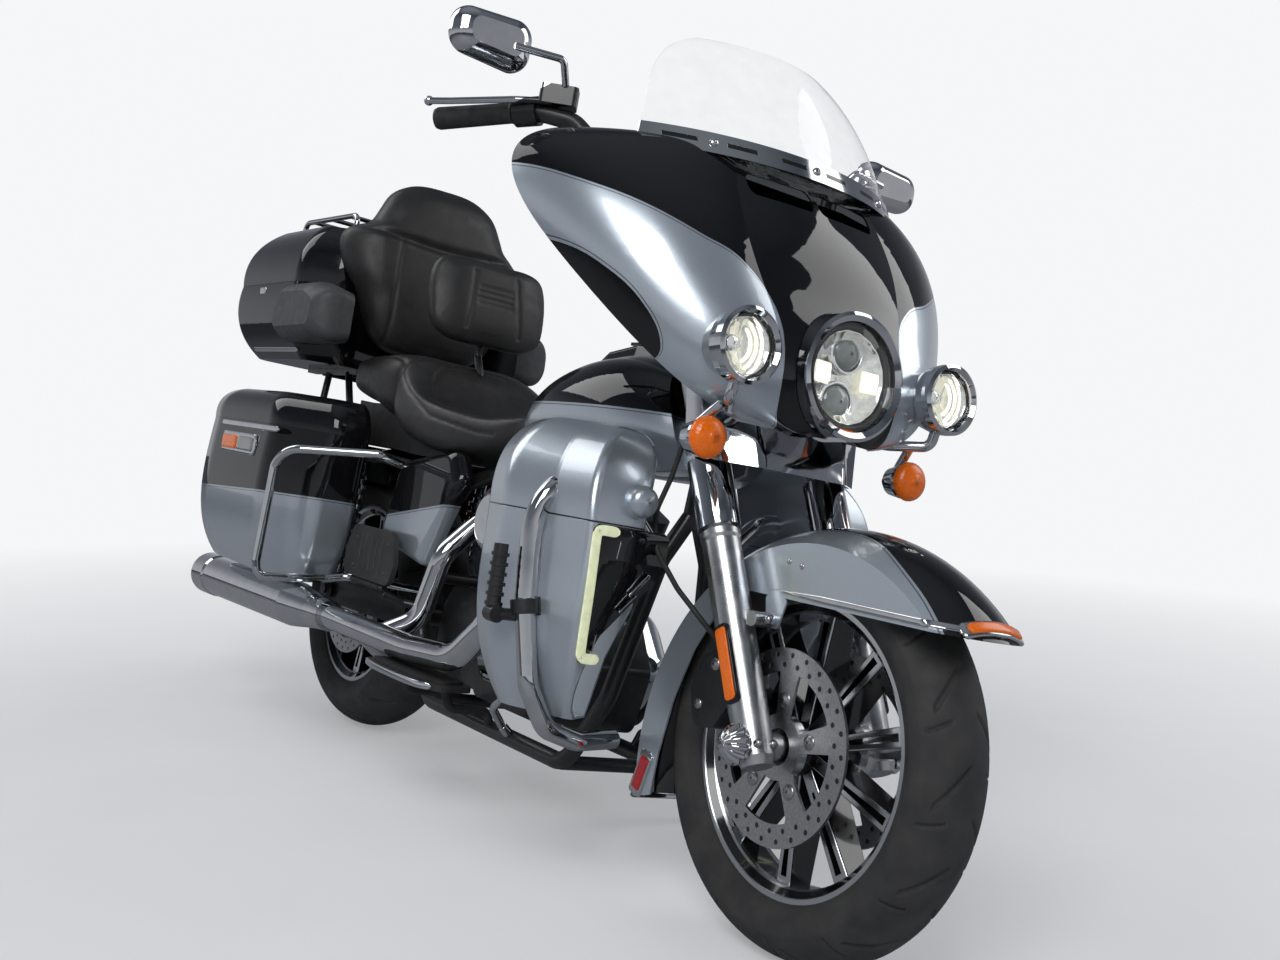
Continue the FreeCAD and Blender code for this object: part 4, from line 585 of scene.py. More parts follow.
FRONT_WHEEL = wheel_finish("front_wheel_casting", FRONT_AXLE, 0.230, ((0.029, 0.034), (0.211, 0.022)))
REAR_WHEEL = wheel_finish("rear_wheel_casting", REAR_AXLE, 0.217, ((0.0325, 0.034), (0.198, 0.046)))
FINISH = {
    "front_tyre": GREY_RUBBER, "rear_tyre": GREY_RUBBER, "front_rim": FRONT_WHEEL, "rear_rim": REAR_WHEEL,
    "front_discs": disc_finish("front_disc_steel", FRONT_AXLE),
    "rear_disc_and_sprocket": disc_finish("rear_disc_steel", REAR_AXLE),
    "fork_legs": ALUMINIUM, "fork_yokes": BLACK_METAL, "fork_shroud": PRESSED_CHROME,
    "front_fender": FENDER_PAINT, "brake_calipers": BLACK_METAL, "lamp_housings": CHROME, "lamp_lenses": LENS,
    "fairing_outer": FAIRING_PAINT, "fairing_inner": PLASTIC, "windshield": SHIELD,
    "windshield_trim": trim_finish(), "handlebar": BLACK_METAL, "grips": RUBBER,
    "hand_controls": controls_finish(), "mirrors": CHROME, "brake_hose": RUBBER,
    "side_stand": BLACK_METAL, "top_box_lid": BLACK, "luggage_rack": CHROME, "bag_lid_left": BLACK,
    "bag_lid_right": BLACK, "fuel_door": BLACK, "pillion_board_left": GREY_RUBBER,
    "pillion_board_right": GREY_RUBBER, "frame_tubes": BLACK_METAL, "swingarm": BLACK_METAL,
    "shock_absorbers": CHROME, "engine_crankcase": BLACK_METAL, "engine_cylinders": BLACK_METAL,
    "engine_covers": CHROME, "air_cleaner": CHROME, "exhaust_pipes": CHROME, "mufflers": CHROME,
    "fuel_tank": TANK_PAINT, "tank_console": BLACK, "seat": LEATHER, "rider_backrest": LEATHER,
    "pillion_backrest": LEATHER, "side_covers": COVER_PAINT, "rear_fender": BLACK, "rear_lamps": RED_LENS,
    "side_bags": BAG_PAINT, "bag_guards": CHROME, "top_box": BLACK, "top_box_carrier": BLACK_METAL,
    "speaker_pods": GREY_PLASTIC, "lower_fairings": LOWER_PAINT, "lower_grilles": BLACK,
    "engine_guard": CHROME, "highway_pegs": BLACK_METAL, "rider_boards": RUBBER, "foot_controls": CHROME,
    "seat_pan": PLASTIC}
for name, thing in NODES.items():
    thing.data.materials.clear()
    thing.data.materials.append(FINISH[name])


# Padded pieces: a closed form, swollen as cloth, then sewn
def smooth_rows(rows, count):
    """Stations along a smooth path, closer together towards both ends."""
    fine = curve(rows, 400)
    t = (1 - np.cos(np.linspace(0, math.pi, count))) / 2
    return fine[np.rint(t * 399).astype(int)], t


def rounding(t, power):
    """Scale that closes both ends: (1 - |2t - 1|^p)^(1/p)."""
    return (1 - np.minimum(abs(2 * t - 1), 0.9999) ** power) ** (1 / power)


def cushion_grid(rows, power=3.2, end=7.0, count=64, ring=72):
    """Cushion of rings from back to front: rows of (ahead, half width, low, top, dish).
    x = w e C, z = middle + h e S + dish (x/w)^2 on the upper side, C and S of a superellipse."""
    rows, t = smooth_rows(rows, count)
    ahead, half, low, top, dish = (rows[:, k:k + 1] for k in range(5))
    e = rounding(t, end)[:, None]
    c, s = oval(2, 2, power, ring).T
    x = half * e * c
    z = (low + top) / 2 + (top - low) / 2 * e * s + dish * e * c ** 2 * np.clip(s * 2, 0, 1)
    return np.stack([x, np.broadcast_to(ahead, x.shape), z], 2)


def backrest_grid(rows, lean, power=3.0, end=5.0, wrap=0.0, count=64, ring=72):
    """Back rest of rings from low to high: rows of (up, half width, rear, front).
    x = w e C and a = middle + d e S - lean (up - first up) - wrap ((|x| - 165) / 90)^1.5, with
    C and S of a superellipse and the last term only past 165."""
    rows, t = smooth_rows(rows, count)
    up, half, rear, front = (rows[:, k:k + 1] for k in range(4))
    e = rounding(t, end)[:, None]
    c, s = oval(2, 2, power, ring).T
    x = half * e * c
    a = (rear + front) / 2 + (front - rear) / 2 * e ** 0.6 * s - lean * (up - rows[0, 0])
    a = a - wrap * (np.maximum(abs(x) - 165, 0) / 90) ** 1.5
    return np.stack([x, a, np.broadcast_to(up, x.shape)], 2)


def points_of(mesh):
    """Vertex positions of a mesh as rows in metres."""
    flat = np.empty(len(mesh.vertices) * 3)
    mesh.vertices.foreach_get("co", flat)
    return flat.reshape(-1, 3)


def upright_of(points):
    """Rows of metres in the leaned frame back to (side, ahead, up) in mm."""
    p = points - np.array(SHIFT)
    c, s = math.cos(LEAN), math.sin(LEAN)
    return np.stack([p[:, 0] * c - p[:, 2] * s, -p[:, 1], p[:, 0] * s + p[:, 2] * c], 1) * 1000


def baked(made):
    """The piece's mesh with its modifiers applied."""
    graph = bpy.context.evaluated_depsgraph_get()
    return bpy.data.meshes.new_from_object(made.evaluated_get(graph))


VOXEL = 0.005
PRESSURE = 4.0
LAST_FRAME = 20
EVEN_ROUNDS = 60


def evened(mesh, step):
    """Each point's movement averaged with its neighbours', so that taut leather has no wrinkles."""
    ends = np.empty(len(mesh.edges) * 2, int)
    mesh.edges.foreach_get("vertices", ends)
    own, other = np.concatenate([ends, ends.reshape(-1, 2)[:, ::-1].ravel()]).reshape(-1, 2).T
    count = np.maximum(np.bincount(own, minlength=len(step)), 1)
    for _ in range(EVEN_ROUNDS):
        around = [np.bincount(own, step[other, k], len(step)) / count for k in range(3)]
        step = (step + np.stack(around, 1)) / 2
    return step


def swell(pads):
    """Remeshes each (pad, cap) and inflates all as cloth together; no point moves past its cap."""
    for pad, cap in pads:
        remesh = pad.modifiers.new("remesh", "REMESH")
        remesh.mode = "VOXEL"
        remesh.voxel_size = VOXEL
        remesh.use_smooth_shade = True
        mesh = baked(pad)
        pad.modifiers.remove(remesh)
        pad.data = mesh
    for pad, cap in pads:
        cloth = pad.modifiers.new("cloth", "CLOTH")
        cloth.settings.use_pressure = True
        cloth.settings.uniform_pressure_force = PRESSURE
        cloth.settings.effector_weights.gravity = 0.0
        cloth.point_cache.frame_end = LAST_FRAME
    for number in range(1, LAST_FRAME + 1):
        bpy.context.scene.frame_set(number)
    swollen = [points_of(baked(pad)) for pad, cap in pads]
    bpy.context.scene.frame_set(1)
    for (pad, cap), moved in zip(pads, swollen):
        pad.modifiers.clear()
        start = points_of(pad.data)
        step = moved - start
        far = np.linalg.norm(step, axis=1, keepdims=True)
        step = evened(pad.data, step * np.minimum(1, cap / np.maximum(far, 1e-9)))
        pad.data.vertices.foreach_set("co", (start + step).ravel())
        pad.data.update()


def sew(pad, depth):
    """Pulls each point in along its normal by depth(side, ahead, up, normal) mm, then smooths."""
    mesh = pad.data
    flat = np.empty(len(mesh.vertices) * 3)
    mesh.vertex_normals.foreach_get("vector", flat)
    normal = flat.reshape(-1, 3)
    place = points_of(mesh)
    side, ahead, up = upright_of(place).T
    inward = normal * depth(side, ahead, up, normal)[:, None] / 1000
    mesh.vertices.foreach_set("co", (place - inward).ravel())
    mesh.update()
    finer = pad.modifiers.new("finer", "SUBSURF")
    finer.levels = finer.render_levels = 1


def groove(distance, width):
    """Bell of height 1 over a seam: exp(-(d / width)^2)."""
    return np.exp(-(distance / width) ** 2)


def rider_seams(side, ahead, up, normal):
    """Seam round the bucket where (|s|/152)^3 + (|a - 480|/200)^3 = 1, on the upper side, and
    one along each flank 24 mm under the rim."""
    ring = ((abs(side) / 152) ** 3 + (abs(ahead - 480) / 200) ** 3) ** (1 / 3)
    rim = np.interp(ahead, (268, 350, 480, 640), (880, 832, 780, 758)) - 18
    flank = groove(up - rim, 4.0) * np.clip((abs(normal[:, 0]) - 0.5) * 3, 0, 1) * (ahead < 690)
    return 3.4 * groove((ring - 1) * 150, 5.0) * np.clip(normal[:, 2] * 2, 0, 1) + 2.6 * flank


def pillion_seams(side, ahead, up, normal):
    """Seam along the edge of the top panel, 26 mm in from each side."""
    return 3.0 * groove(168 - abs(side), 5.0) * np.clip(normal[:, 2] * 2, 0, 1)


def backrest_seams(side, ahead, up, normal):
    """Pinch line two thirds up the front, bowed down in its middle, and a seam on each flank."""
    line = 1212 - 16 * np.cos(side / 190 * math.pi / 2)
    front = np.clip(-normal[:, 1] * 1.6, 0, 1)
    flank = groove(abs(side) - 128 + 0.1 * np.maximum(up - 1150, 0), 5.0) * (up < 1205)
    return (9.0 * groove(up - line, 11.0) + 2.6 * flank) * front


def rider_pad_seams(side, ahead, up, normal):
    """Inner panel between two sloping seams, with four sewn lines across it."""
    front = np.clip(-normal[:, 1] * 1.6, 0, 1)
    edge = 58 + 0.10 * (1100 - up)
    sides = groove(abs(side) - edge, 4.5) * (up < 1128) * (up > 985)
    lines = sum(groove(up - level, 3.6) for level in (1050, 1063, 1076, 1089))
    return (3.4 * sides + 2.6 * lines * (abs(side) < edge - 14)) * front


def padded_pieces():
    """Seats and back rests, which replace the CAD model's plain soft solids."""
    rider = cushion_grid([(240, 184, 752, 916, 0), (268, 196, 730, 906, 4), (306, 203, 714, 868, 20),
                          (350, 207, 704, 822, 34), (410, 208, 696, 780, 44), (480, 206, 690, 760, 46),
                          (560, 194, 688, 758, 36), (640, 170, 694, 768, 20), (710, 146, 714, 790, 8),
                          (770, 120, 742, 812, 2)])
    pillion = cushion_grid([(-36, 176, 800, 886, 2), (20, 190, 796, 896, 4), (100, 196, 782, 900, 6),
                            (180, 197, 758, 904, 4), (262, 188, 742, 906, 0)], power=4.0, end=9.0)
    rider_back = backrest_grid([(948, 122, 262, 318), (985, 146, 252, 320), (1040, 154, 246, 318),
                                (1095, 154, 244, 312), (1135, 142, 250, 308), (1158, 118, 262, 302)], 0.14)
    pillion_back = backrest_grid([(912, 166, -84, 22), (980, 184, -84, 34), (1050, 204, -84, 38),
                                  (1110, 240, -84, 38), (1170, 254, -84, 36), (1208, 238, -84, 34),
                                  (1236, 192, -84, 32), (1275, 170, -84, 28), (1322, 148, -80, 20),
                                  (1362, 112, -70, 4)], 0.12, end=6.0, wrap=34.0)
    # name, grid, most movement in metres, seams, the node it stands for
    table = (("rider_seat_cushion", rider, 0.006, rider_seams, "seat"),
             ("pillion_seat_cushion", pillion, 0.006, pillion_seams, "seat"),
             ("rider_back_pad", rider_back, 0.008, rider_pad_seams, "rider_backrest"),
             ("pillion_back_pad", pillion_back, 0.008, backrest_seams, "pillion_backrest"))
    made = [skin(row[0], row[1], LEATHER, "chassis") for row in table]
    swell([(pad, row[2]) for pad, row in zip(made, table)])
    for pad, (_, _, _, seams, node) in zip(made, table):
        sew(pad, seams)
        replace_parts(pad, node)


# Several closed forms as one piece
def cluster(name, grids, finish, body, loop=False):
    """One object of many closed forms, each turned so that its faces look the same way."""
    points, faces, start = [], [], 0
    for grid in grids:
        flat = grid.reshape(-1, 3)
        quads, caps = ring_faces(*grid.shape[:2], loop)
        part = quads.tolist() + caps
        if volume_sign(flat, quads) < 0:
            part = [f[::-1] for f in part]
        faces += [[t + start for t in f] for f in part]
        points.append(flat)
        start += len(flat)
    return piece(name, np.vstack(points), faces, finish, body)


def both_sides(grids):
    """The grids and their mirror images."""
    return list(grids) + [other_side(grid) for grid in grids]


def dome(base, axis, radius, height, count=20):
    """Bolt head: a short wall and a rounded top, r = R cos t and z = h sin t."""
    t = np.linspace(0, 1.45, 6)
    rows = [(-height, radius)] + [(height * math.sin(a), radius * math.cos(a)) for a in t]
    return turned_grid(base, axis, rows, count)


def strap(path, outward, width, thick, power=4.0, count=20):
    """Grid of a flat bar along a path, its ends drawn in."""
    grid = carried(path, outward, oval(width, thick, power, count))
    middle = grid.mean(1, keepdims=True)
    share = np.ones(len(grid))
    share[[0, -1]] = 0.35
    share[[1, -2]] = 0.85
    return middle + (grid - middle) * share[:, None, None]


def line(start, end, count=8):
    """Straight path, with extra points near its ends."""
    t = np.concatenate([[0, 0.02], np.linspace(0.05, 0.95, count), [0.98, 1]])[:, None]
    return np.asarray(start, float) * (1 - t) + np.asarray(end, float) * t


# Tyres with tread
AROUND = 780
PITCHES = 14
GROOVE_DEPTH = 4.0
# start and rise of the centre line, its power, the span across, and half the width in mm
GROOVES = ((0.12, 0.62, 1.3, 0.10, 0.82, 3.1), (0.62, 0.20, 1.0, 0.50, 0.96, 2.4))
CROWN_POINTS = 76


def groove_depth(across, turn, pitch_length, half):
    """Tread depth at across (-1 to 1) and turn in pitches. Each side has a long curved groove
    with centre p = 0.12 + 0.62 w^1.3 and a short one with p = 0.62 + 0.2 w, staggered by half."""
    w = abs(across)
    p = turn + np.where(across > 0, 0.5, 0.0)
    depth = np.zeros(np.broadcast(w, p).shape)
    for start, rise, power, low, high, wide in GROOVES:
        centre = start + rise * w ** power
        slope = rise * power * np.maximum(w, 0.05) ** (power - 1) * pitch_length / half
        gap = abs((p - centre + 0.5) % 1 - 0.5) * pitch_length / np.sqrt(1 + slope ** 2)
        ends = np.clip((w - low) / 0.03, 0, 1) * np.clip((high - w) / 0.03, 0, 1)
        depth = np.maximum(depth, np.clip((wide - gap) / 1.2 + 0.5, 0, 1) * ends)
    return GROOVE_DEPTH * depth


def tyre_grid(axle, radius, half, crown, flange, rim_half):
    """Closed profile of bed, bead, side wall and crown turned round the axle; the crown point
    at across w lies on an arc of radius c and is cut inward by the groove depth."""
    shoulder = radius - crown + math.sqrt(crown ** 2 - half ** 2)
    bed, bead, foot, lip = flange - 12.7, rim_half - 6.3, rim_half + 2, flange + 0.3
    top = math.asin(half / crown)
    t = np.linspace(-top, top, CROWN_POINTS)
    crown_rows = np.stack([crown * np.sin(t), radius - crown + crown * np.cos(t)], 1)
    s = np.linspace(0, 1, 15)[1:-1, None]
    wall = np.array([half, shoulder]) * (1 - s) + np.array([foot, lip]) * s
    wall = wall + np.array([1.0, 0.1]) * 5.5 * np.sin(math.pi * s)
    wall[:, 0] = np.minimum(wall[:, 0], half - 0.2)
    wall[:, 0] -= 0.9 * np.exp(-((s[:, 0] - 0.62) / 0.05) ** 2)
    side = np.vstack([wall, [(foot, lip), (bead, lip), (bead, (lip + bed) / 2), (bead, bed)]])
    rows = np.vstack([crown_rows, side, side[::-1] * (-1, 1)])
    turn = np.arange(AROUND) / AROUND * PITCHES
    out = np.broadcast_to(rows[None, :, 1], (AROUND, len(rows))).copy()
    across = np.broadcast_to(rows[None, :, 0], (AROUND, len(rows))).copy()
    cut = groove_depth((crown_rows[:, 0] / half)[None], turn[:, None], TURN * radius / PITCHES, half)
    out[:, :CROWN_POINTS] -= cut * np.cos(t)
    across[:, :CROWN_POINTS] -= cut * np.sin(t)
    angle = turn[:, None] / PITCHES * TURN
    return np.stack([across, np.sin(angle) * out, np.cos(angle) * out], 2) + np.asarray(axle)


def tyres():
    """Both tyres, in place of the CAD model's plain rings."""
    for name, axle, sizes, body in (("front", FRONT_AXLE, (320, 65, 70, 230, 44), "front_wheel"),
                                    ("rear", REAR_AXLE, (320, 90, 100, 217, 68), "rear_wheel")):
        made = skin(name + "_tyre_tread", tyre_grid(axle, *sizes), GREY_RUBBER, body, loop=True)
        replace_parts(made, name + "_tyre")


# Lamps
LAMP_AXIS = (0.0, 0.9976, 0.0698)
HEADLAMP = (0.0, 1563.0, 905.0)
PASSING = (219.0, 1568.0, 910.0)
CRESCENT_SHIFT = 22
SIGNAL = (220, 1504, 766)
SIGNAL_ROWS = ((-7, 31), (-3, 33.5), (4, 33), (10, 29.5), (15, 23), (18, 14), (19, 1))


def in_lamp(base, side, up, depth):
    """Point of a lamp at an offset in its plane and a depth along its axis."""
    axis = np.array(LAMP_AXIS)
    return np.asarray(base, float) + axis * depth + (side, -axis[2] * up, axis[1] * up)


def bowl(base, radius, rim, deep, waves=0, wave=0.0):
    """Reflector with a front face z = rim - (rim - deep) (1 - (r / R)^2), 2 mm thick."""
    r = np.linspace(0.5, radius, 24)
    z = rim - (rim - deep) * (1 - (r / radius) ** 2)
    rows = list(zip(z, r)) + list(zip(z[::-1] - 2, r[::-1]))
    return turned_grid(base, LAMP_AXIS, rows, 96, wave, waves)


def crescent(base, radius, width, depth):
    """Lit arc (r cos t, r sin t) for t within 58 degrees."""
    t = np.linspace(-1.0, 1.0, 25)
    path = [in_lamp(base, radius * math.cos(a) - CRESCENT_SHIFT, radius * math.sin(a), depth) for a in t]
    return strap(path, LAMP_AXIS, width, 3)


def lamps():
    """Insides of the headlamp and the passing lamps."""
    ring = turned_grid(HEADLAMP, LAMP_AXIS, [(-8.4, 76), (-8.4, 86), (-11, 84), (-13, 76)], 64)
    skin("headlamp_ring", ring, BLACK, "steering", loop=True)
    skin("headlamp_reflector", bowl(HEADLAMP, 75, -13, -42, 18, 0.012), MIRROR_LAMP, "steering")
    domes, rings = [], []
    for side, up in ((5, 39), (-5, -39)):
        at = in_lamp(HEADLAMP, side, up, -34)
        front = [(16 * math.sin(a), 27 * math.cos(a)) for a in np.linspace(0, 1.5, 12)]
        domes.append(turned_grid(at, LAMP_AXIS, [(-4, 27)] + front, 40))
        rings.append(turned_grid(at, LAMP_AXIS, [(-6, 27.5), (6, 27.5), (8, 30), (6, 33), (-6, 33)], 48))
    cluster("headlamp_projectors", domes, PROJECTOR, "steering")
    cluster("headlamp_projector_rings", rings, CHROME, "steering", loop=True)
    wings = []
    for side in (-1, 1):
        path = line(in_lamp(HEADLAMP, side * 32, 0, -22), in_lamp(HEADLAMP, side * 66, 0, -16))
        wings.append(strap(path, LAMP_AXIS, 34, 5))
    cluster("headlamp_lit_wings", wings, LIT, "steering")
    for side, word in ((1, "left"), (-1, "right")):
        at = (side * PASSING[0], *PASSING[1:])
        skin("passing_reflector_" + word, bowl(at, 43, -11, -26, 12, 0.01), MIRROR_LAMP, "steering")
        arcs = [crescent(at, radius, 6, -13) for radius in (30, 41, 52)]
        cluster("passing_crescents_" + word, arcs, LIT, "steering")
        hub = dome(in_lamp(at, -CRESCENT_SHIFT, 0, -16), LAMP_AXIS, 12, 6, 32)
        skin("passing_hub_" + word, hub, CHROME, "steering")


def signals():
    """Ribbed amber caps over the bullet signals."""
    for side, word in ((1, "left"), (-1, "right")):
        cap = turned_grid((side * SIGNAL[0], *SIGNAL[1:]), LAMP_AXIS, SIGNAL_ROWS, 96, 0.012, 32)
        skin("signal_cap_" + word, cap, AMBER, "steering")


DUCT_BOSS = (222, 1330, 651)
DUCT_ROWS = ((-14, 27), (36, 27), (44, 25), (50, 19), (53, 11), (53.5, 1))
GUARD_DIAMETER = 35.4
WINDOW_EDGE_UP = (384, 430, 480, 520, 545, 606)
WINDOW_EDGE_SIDE = (282, 262, 220, 178, 160, 156)


def on_window(side, up, lift=3.0):
    """Point on the front of a lower fairing's window, a = 1370 - 0.00055 (u - 485)^2 + lift."""
    return side, 1370 - 0.00055 * (up - 485) ** 2 + lift, up


def lower_windows():
    """Air window of each lower fairing, its lit strip, slats and duct boss, and the guard bar's top."""
    rows = []
    for t in np.linspace(0, 1, 30):
        up = WINDOW_EDGE_UP[0] + (WINDOW_EDGE_UP[-1] - WINDOW_EDGE_UP[0]) * t
        round_off = 10 * (1 - min(1, min(t, 1 - t) / 0.05)) ** 2
        inner = np.interp(up, WINDOW_EDGE_UP, WINDOW_EDGE_SIDE) + round_off
        outer = 296 + 8 * math.sin(1.9 * t) - round_off
        corners = ((inner, 2.0), (outer, 2.0), (outer, -6.0), (inner, -6.0))
        rows.append([on_window(side, up, lift) for side, lift in corners])
    plates = both_sides([np.array(rows)])
    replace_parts(cluster("lower_windows", plates, BLACK, "chassis"), "lower_grilles")
    bends = ((256, 596), (290, 596), (297, 590), (299, 580), (298, 500), (293, 408), (290, 396),
             (282, 391), (256, 391))
    lit = strap(curve([on_window(*bend) for bend in bends], 60), (0, 1, 0), 17, 5)
    cluster("lower_light_strips", both_sides([lit]), LIGHT_STRIP, "chassis")
    # start and end as (side, up), width and thickness
    slats = [strap(line(on_window(*start), on_window(*end)), (0, 1, 0), wide, thick)
             for start, end, wide, thick in (((222, 498), (188, 536), 7, 4), ((236, 470), (208, 500), 3.5, 3),
                                             ((272, 402), (252, 584), 2.5, 3))]
    cluster("lower_slats", both_sides(slats), CHROME, "chassis")
    boss = turned_grid(DUCT_BOSS, (0, 1, 0), DUCT_ROWS, 48)
    cluster("lower_duct_bosses", both_sides([boss]), SILVER, "chassis")
    path = curve([(347.5, 1268, 450), (349.5, 1262, 500), (350.5, 1256, 540), (350, 1252, 580),
                  (345, 1252, 612), (335, 1254, 636), (321, 1252, 652), (306, 1246, 662)], 60)
    tube = strap(path, (1, 0, 0), GUARD_DIAMETER, GUARD_DIAMETER, 2.0, 40)
    cluster("guard_bar_tops", both_sides([tube]), CHROME, "chassis")


# Front fender trim and fork
FENDER_CENTRE = (1659.0, 263.0)
FLANK_OUT = 371
FLANK_SIDE = 90.0
CROWN_RADIUS = 136.1
CROWN_OUT = 268.9
STRIP_UP = 553
TIP_ANGLE = math.radians(47.0)


def on_fender(ahead, up, lift=0.0):
    """Point of the left flank or crown of the front fender, and its outward direction."""
    a, u = ahead - FENDER_CENTRE[0], up - FENDER_CENTRE[1]
    r = math.hypot(a, u)
    if r <= FLANK_OUT:
        return (FLANK_SIDE + lift, ahead, up), (1.0, 0.0, 0.0)
    side = math.sqrt(max(CROWN_RADIUS ** 2 - (r - CROWN_OUT) ** 2, 0))
    way = np.array([side, (r - CROWN_OUT) * a / r, (r - CROWN_OUT) * u / r]) / CROWN_RADIUS
    return tuple(np.array([side, ahead, up]) + way * lift), tuple(way)


def fender_trim():
    """Chrome strip along the skirt, which widens from its rear end, and the lamp at the tip."""
    places = [on_fender(ahead, STRIP_UP, 1.0) for ahead in np.linspace(1560, 1942, 64)]
    path, way = (np.array(part) for part in zip(*places))
    grid = carried(path, way, oval(1, 5, 4.0, 20))
    middle = grid.mean(1, keepdims=True)
    off = grid - middle
    out = np.einsum("ijk,ik->ij", off, way)[..., None] * way[:, None]
    wide = np.concatenate([np.linspace(1, 11, 20), np.full(44, 11.0)])[:, None, None]
    grid = middle + (off - out) * wide + out
    skin("fender_strip_left", grid, CHROME, "steering")
    skin("fender_strip_right", other_side(grid), CHROME, "steering")
    side = np.linspace(-60, 60, 41)
    out = np.sqrt(CROWN_RADIUS ** 2 - side ** 2)
    c, s = math.cos(TIP_ANGLE), math.sin(TIP_ANGLE)
    way = np.stack([side, out * c, out * s], 1) / CROWN_RADIUS
    reach = CROWN_OUT + out
    tip = np.stack([side, FENDER_CENTRE[0] + reach * c, FENDER_CENTRE[1] + reach * s], 1)
    skin("fender_tip_bezel", strap(tip + way * 2, way, 26, 8), CHROME, "steering")
    skin("fender_tip_lens", strap((tip + way * 5)[3:-3], way[3:-3], 17, 9), AMBER, "steering")
    edge = strap(line((-84, 1281, 157), (84, 1281, 157)), (0, -1, -0.4), 10, 5)
    cluster("fender_tail_edge", [edge], CHROME, "steering")


# Straight flat bars on both sides: name, finish, body, start, end, outward, width, thickness, power
BARS = (
    ("fender_tail_bezels", CHROME, "steering", (90.5, 1299, 162), (90.5, 1320, 240), (1, 0, 0), 34, 6, 6.0),
    ("fender_tail_reflectors", RED, "steering", (92.5, 1302, 172), (92.5, 1318, 230), (1, 0, 0), 22, 6, 6.0),
    ("fork_reflector_bezels", BLACK, "steering", (156, 1536, 487), (156, 1598, 376), (1, 0, 0), 30, 9, 6.0),
    ("fork_reflectors", AMBER, "steering", (158, 1539, 482), (158, 1595, 381), (1, 0, 0), 24, 10, 6.0),
    ("bag_marker_bezels", CHROME, "chassis", (387, -268, 634), (391, -12, 634), (1, -0.02, 0), 52, 9, 6.0),
    ("bag_markers", AMBER, "chassis", (390, -258, 634), (392, -150, 634), (1, -0.02, 0), 34, 9, 6.0),
    ("bag_marker_windows", PROJECTOR, "chassis", (392, -140, 634), (393.5, -22, 634), (1, -0.02, 0), 34, 9,
     6.0),
    ("bag_seam_strips", CHROME, "chassis", (386, -300, 679), (386, 110, 679), (1, 0, 0), 15, 7, 4.0),
    ("box_lower_strips", CHROME, "chassis", (268, -520, 890), (268, -190, 890), (0.83, 0, -0.55), 12, 5,
     4.0))


def bars():
    """Reflectors of the fender's tail and the fork, markers and strips of the bags and the top box."""
    for name, finish, body, start, end, outward, width, thick, power in BARS:
        bar = strap(line(start, end), outward, width, thick, power)
        cluster(name, both_sides([bar]), finish, body)
    latch = strap(line((-298, -430, 1018), (-301, -430, 1050)), (-1, 0, 0), 44, 8, 6.0)
    cluster("box_latch", [latch], CHROME, "chassis")


# Bolts on both sides of the fork: centre, outward, radius, height
FORK_BOLTS = (((140, 1652, 330), (0, 0.87, 0.49), 7, 6), ((112, 1652, 330), (0, 0.87, 0.49), 7, 6),
              ((120, 1600, 508), (1, 0, 0), 8, 6), ((121, 1496, 420), (1, 0, 0), 11, 5),
              ((121, 1470, 352), (1, 0, 0), 9, 5), ((121, 1540, 395), (1, 0, 0), 8, 5))
AXLE_CAP = ((-3, 26), (2, 30), (8, 29), (16, 25), (24, 19), (30, 10), (31, 1))


def fork_trim():
    """Finned axle caps and bolts of the fork, and studs of the fender."""
    cap = turned_grid((157, 1625, 321), (1, 0, 0), AXLE_CAP, 96, 0.09, 12)
    cluster("axle_caps", both_sides([cap]), CHROME, "steering")
    cluster("fork_bolts", both_sides([dome(*bolt) for bolt in FORK_BOLTS]), STEEL, "steering")
    studs = [dome(*on_fender(ahead, up), 5, 2.5) for ahead, up in ((1592, 600), (1622, 596))]
    cluster("fender_studs", both_sides(studs), CHROME, "steering")


BOLT_CIRCLE = 72


def wheel_trim():
    """Bolts of the disc carriers."""
    for name, axle, reach, sides in (("front", FRONT_AXLE, 80.6, (1, -1)),
                                     ("rear", REAR_AXLE, 90.2, (-1,))):
        heads = []
        for side in sides:
            for t in np.arange(5) * TURN / 5:
                ahead, up = axle[1] - BOLT_CIRCLE * math.sin(t), axle[2] + BOLT_CIRCLE * math.cos(t)
                heads.append(dome((side * reach, ahead, up), (side, 0, 0), 12, 4))
        cluster(name + "_disc_bolts", heads, STEEL, name + "_wheel")


# Boards
BOARD_FACE = 216.2


def board_studs():
    """Chrome edges of the rider boards and rubber studs on the folded pillion boards."""
    edge = curve([(302, 608, 247), (314, 655, 247), (319, 702, 247), (318, 780, 247), (311, 854, 247),
                  (290, 884, 247)], 40)
    way = np.gradient(edge, axis=0)[:, [1, 0, 2]] * (1, -1, 0)
    cluster("rider_board_edges", both_sides([strap(edge, way, 13, 5)]), CHROME, "chassis")
    for side, word in ((1, "left"), (-1, "right")):
        face = side * BOARD_FACE
        heads = [dome((face, a, u), (side, 0, 0), 4, 2.5) for a in (262, 432) for u in (408, 472)]
        heads += [strap(line((face, a, 400), (face, a, 480)), (side, 0, 0), 3, 3)
                  for a in (290, 318, 346, 374, 402)]
        cluster("pillion_board_ribs_" + word, heads, GREY_PLASTIC, "pillion_board_" + word)


# Fairing dash, mirrors and windshield bolts
DASH_AXIS = (0.0, -0.824, -0.566)
GAUGES = ((-52, 44), (52, 44), (-138, 26), (138, 26))
SHIELD_RADIUS = 425.3


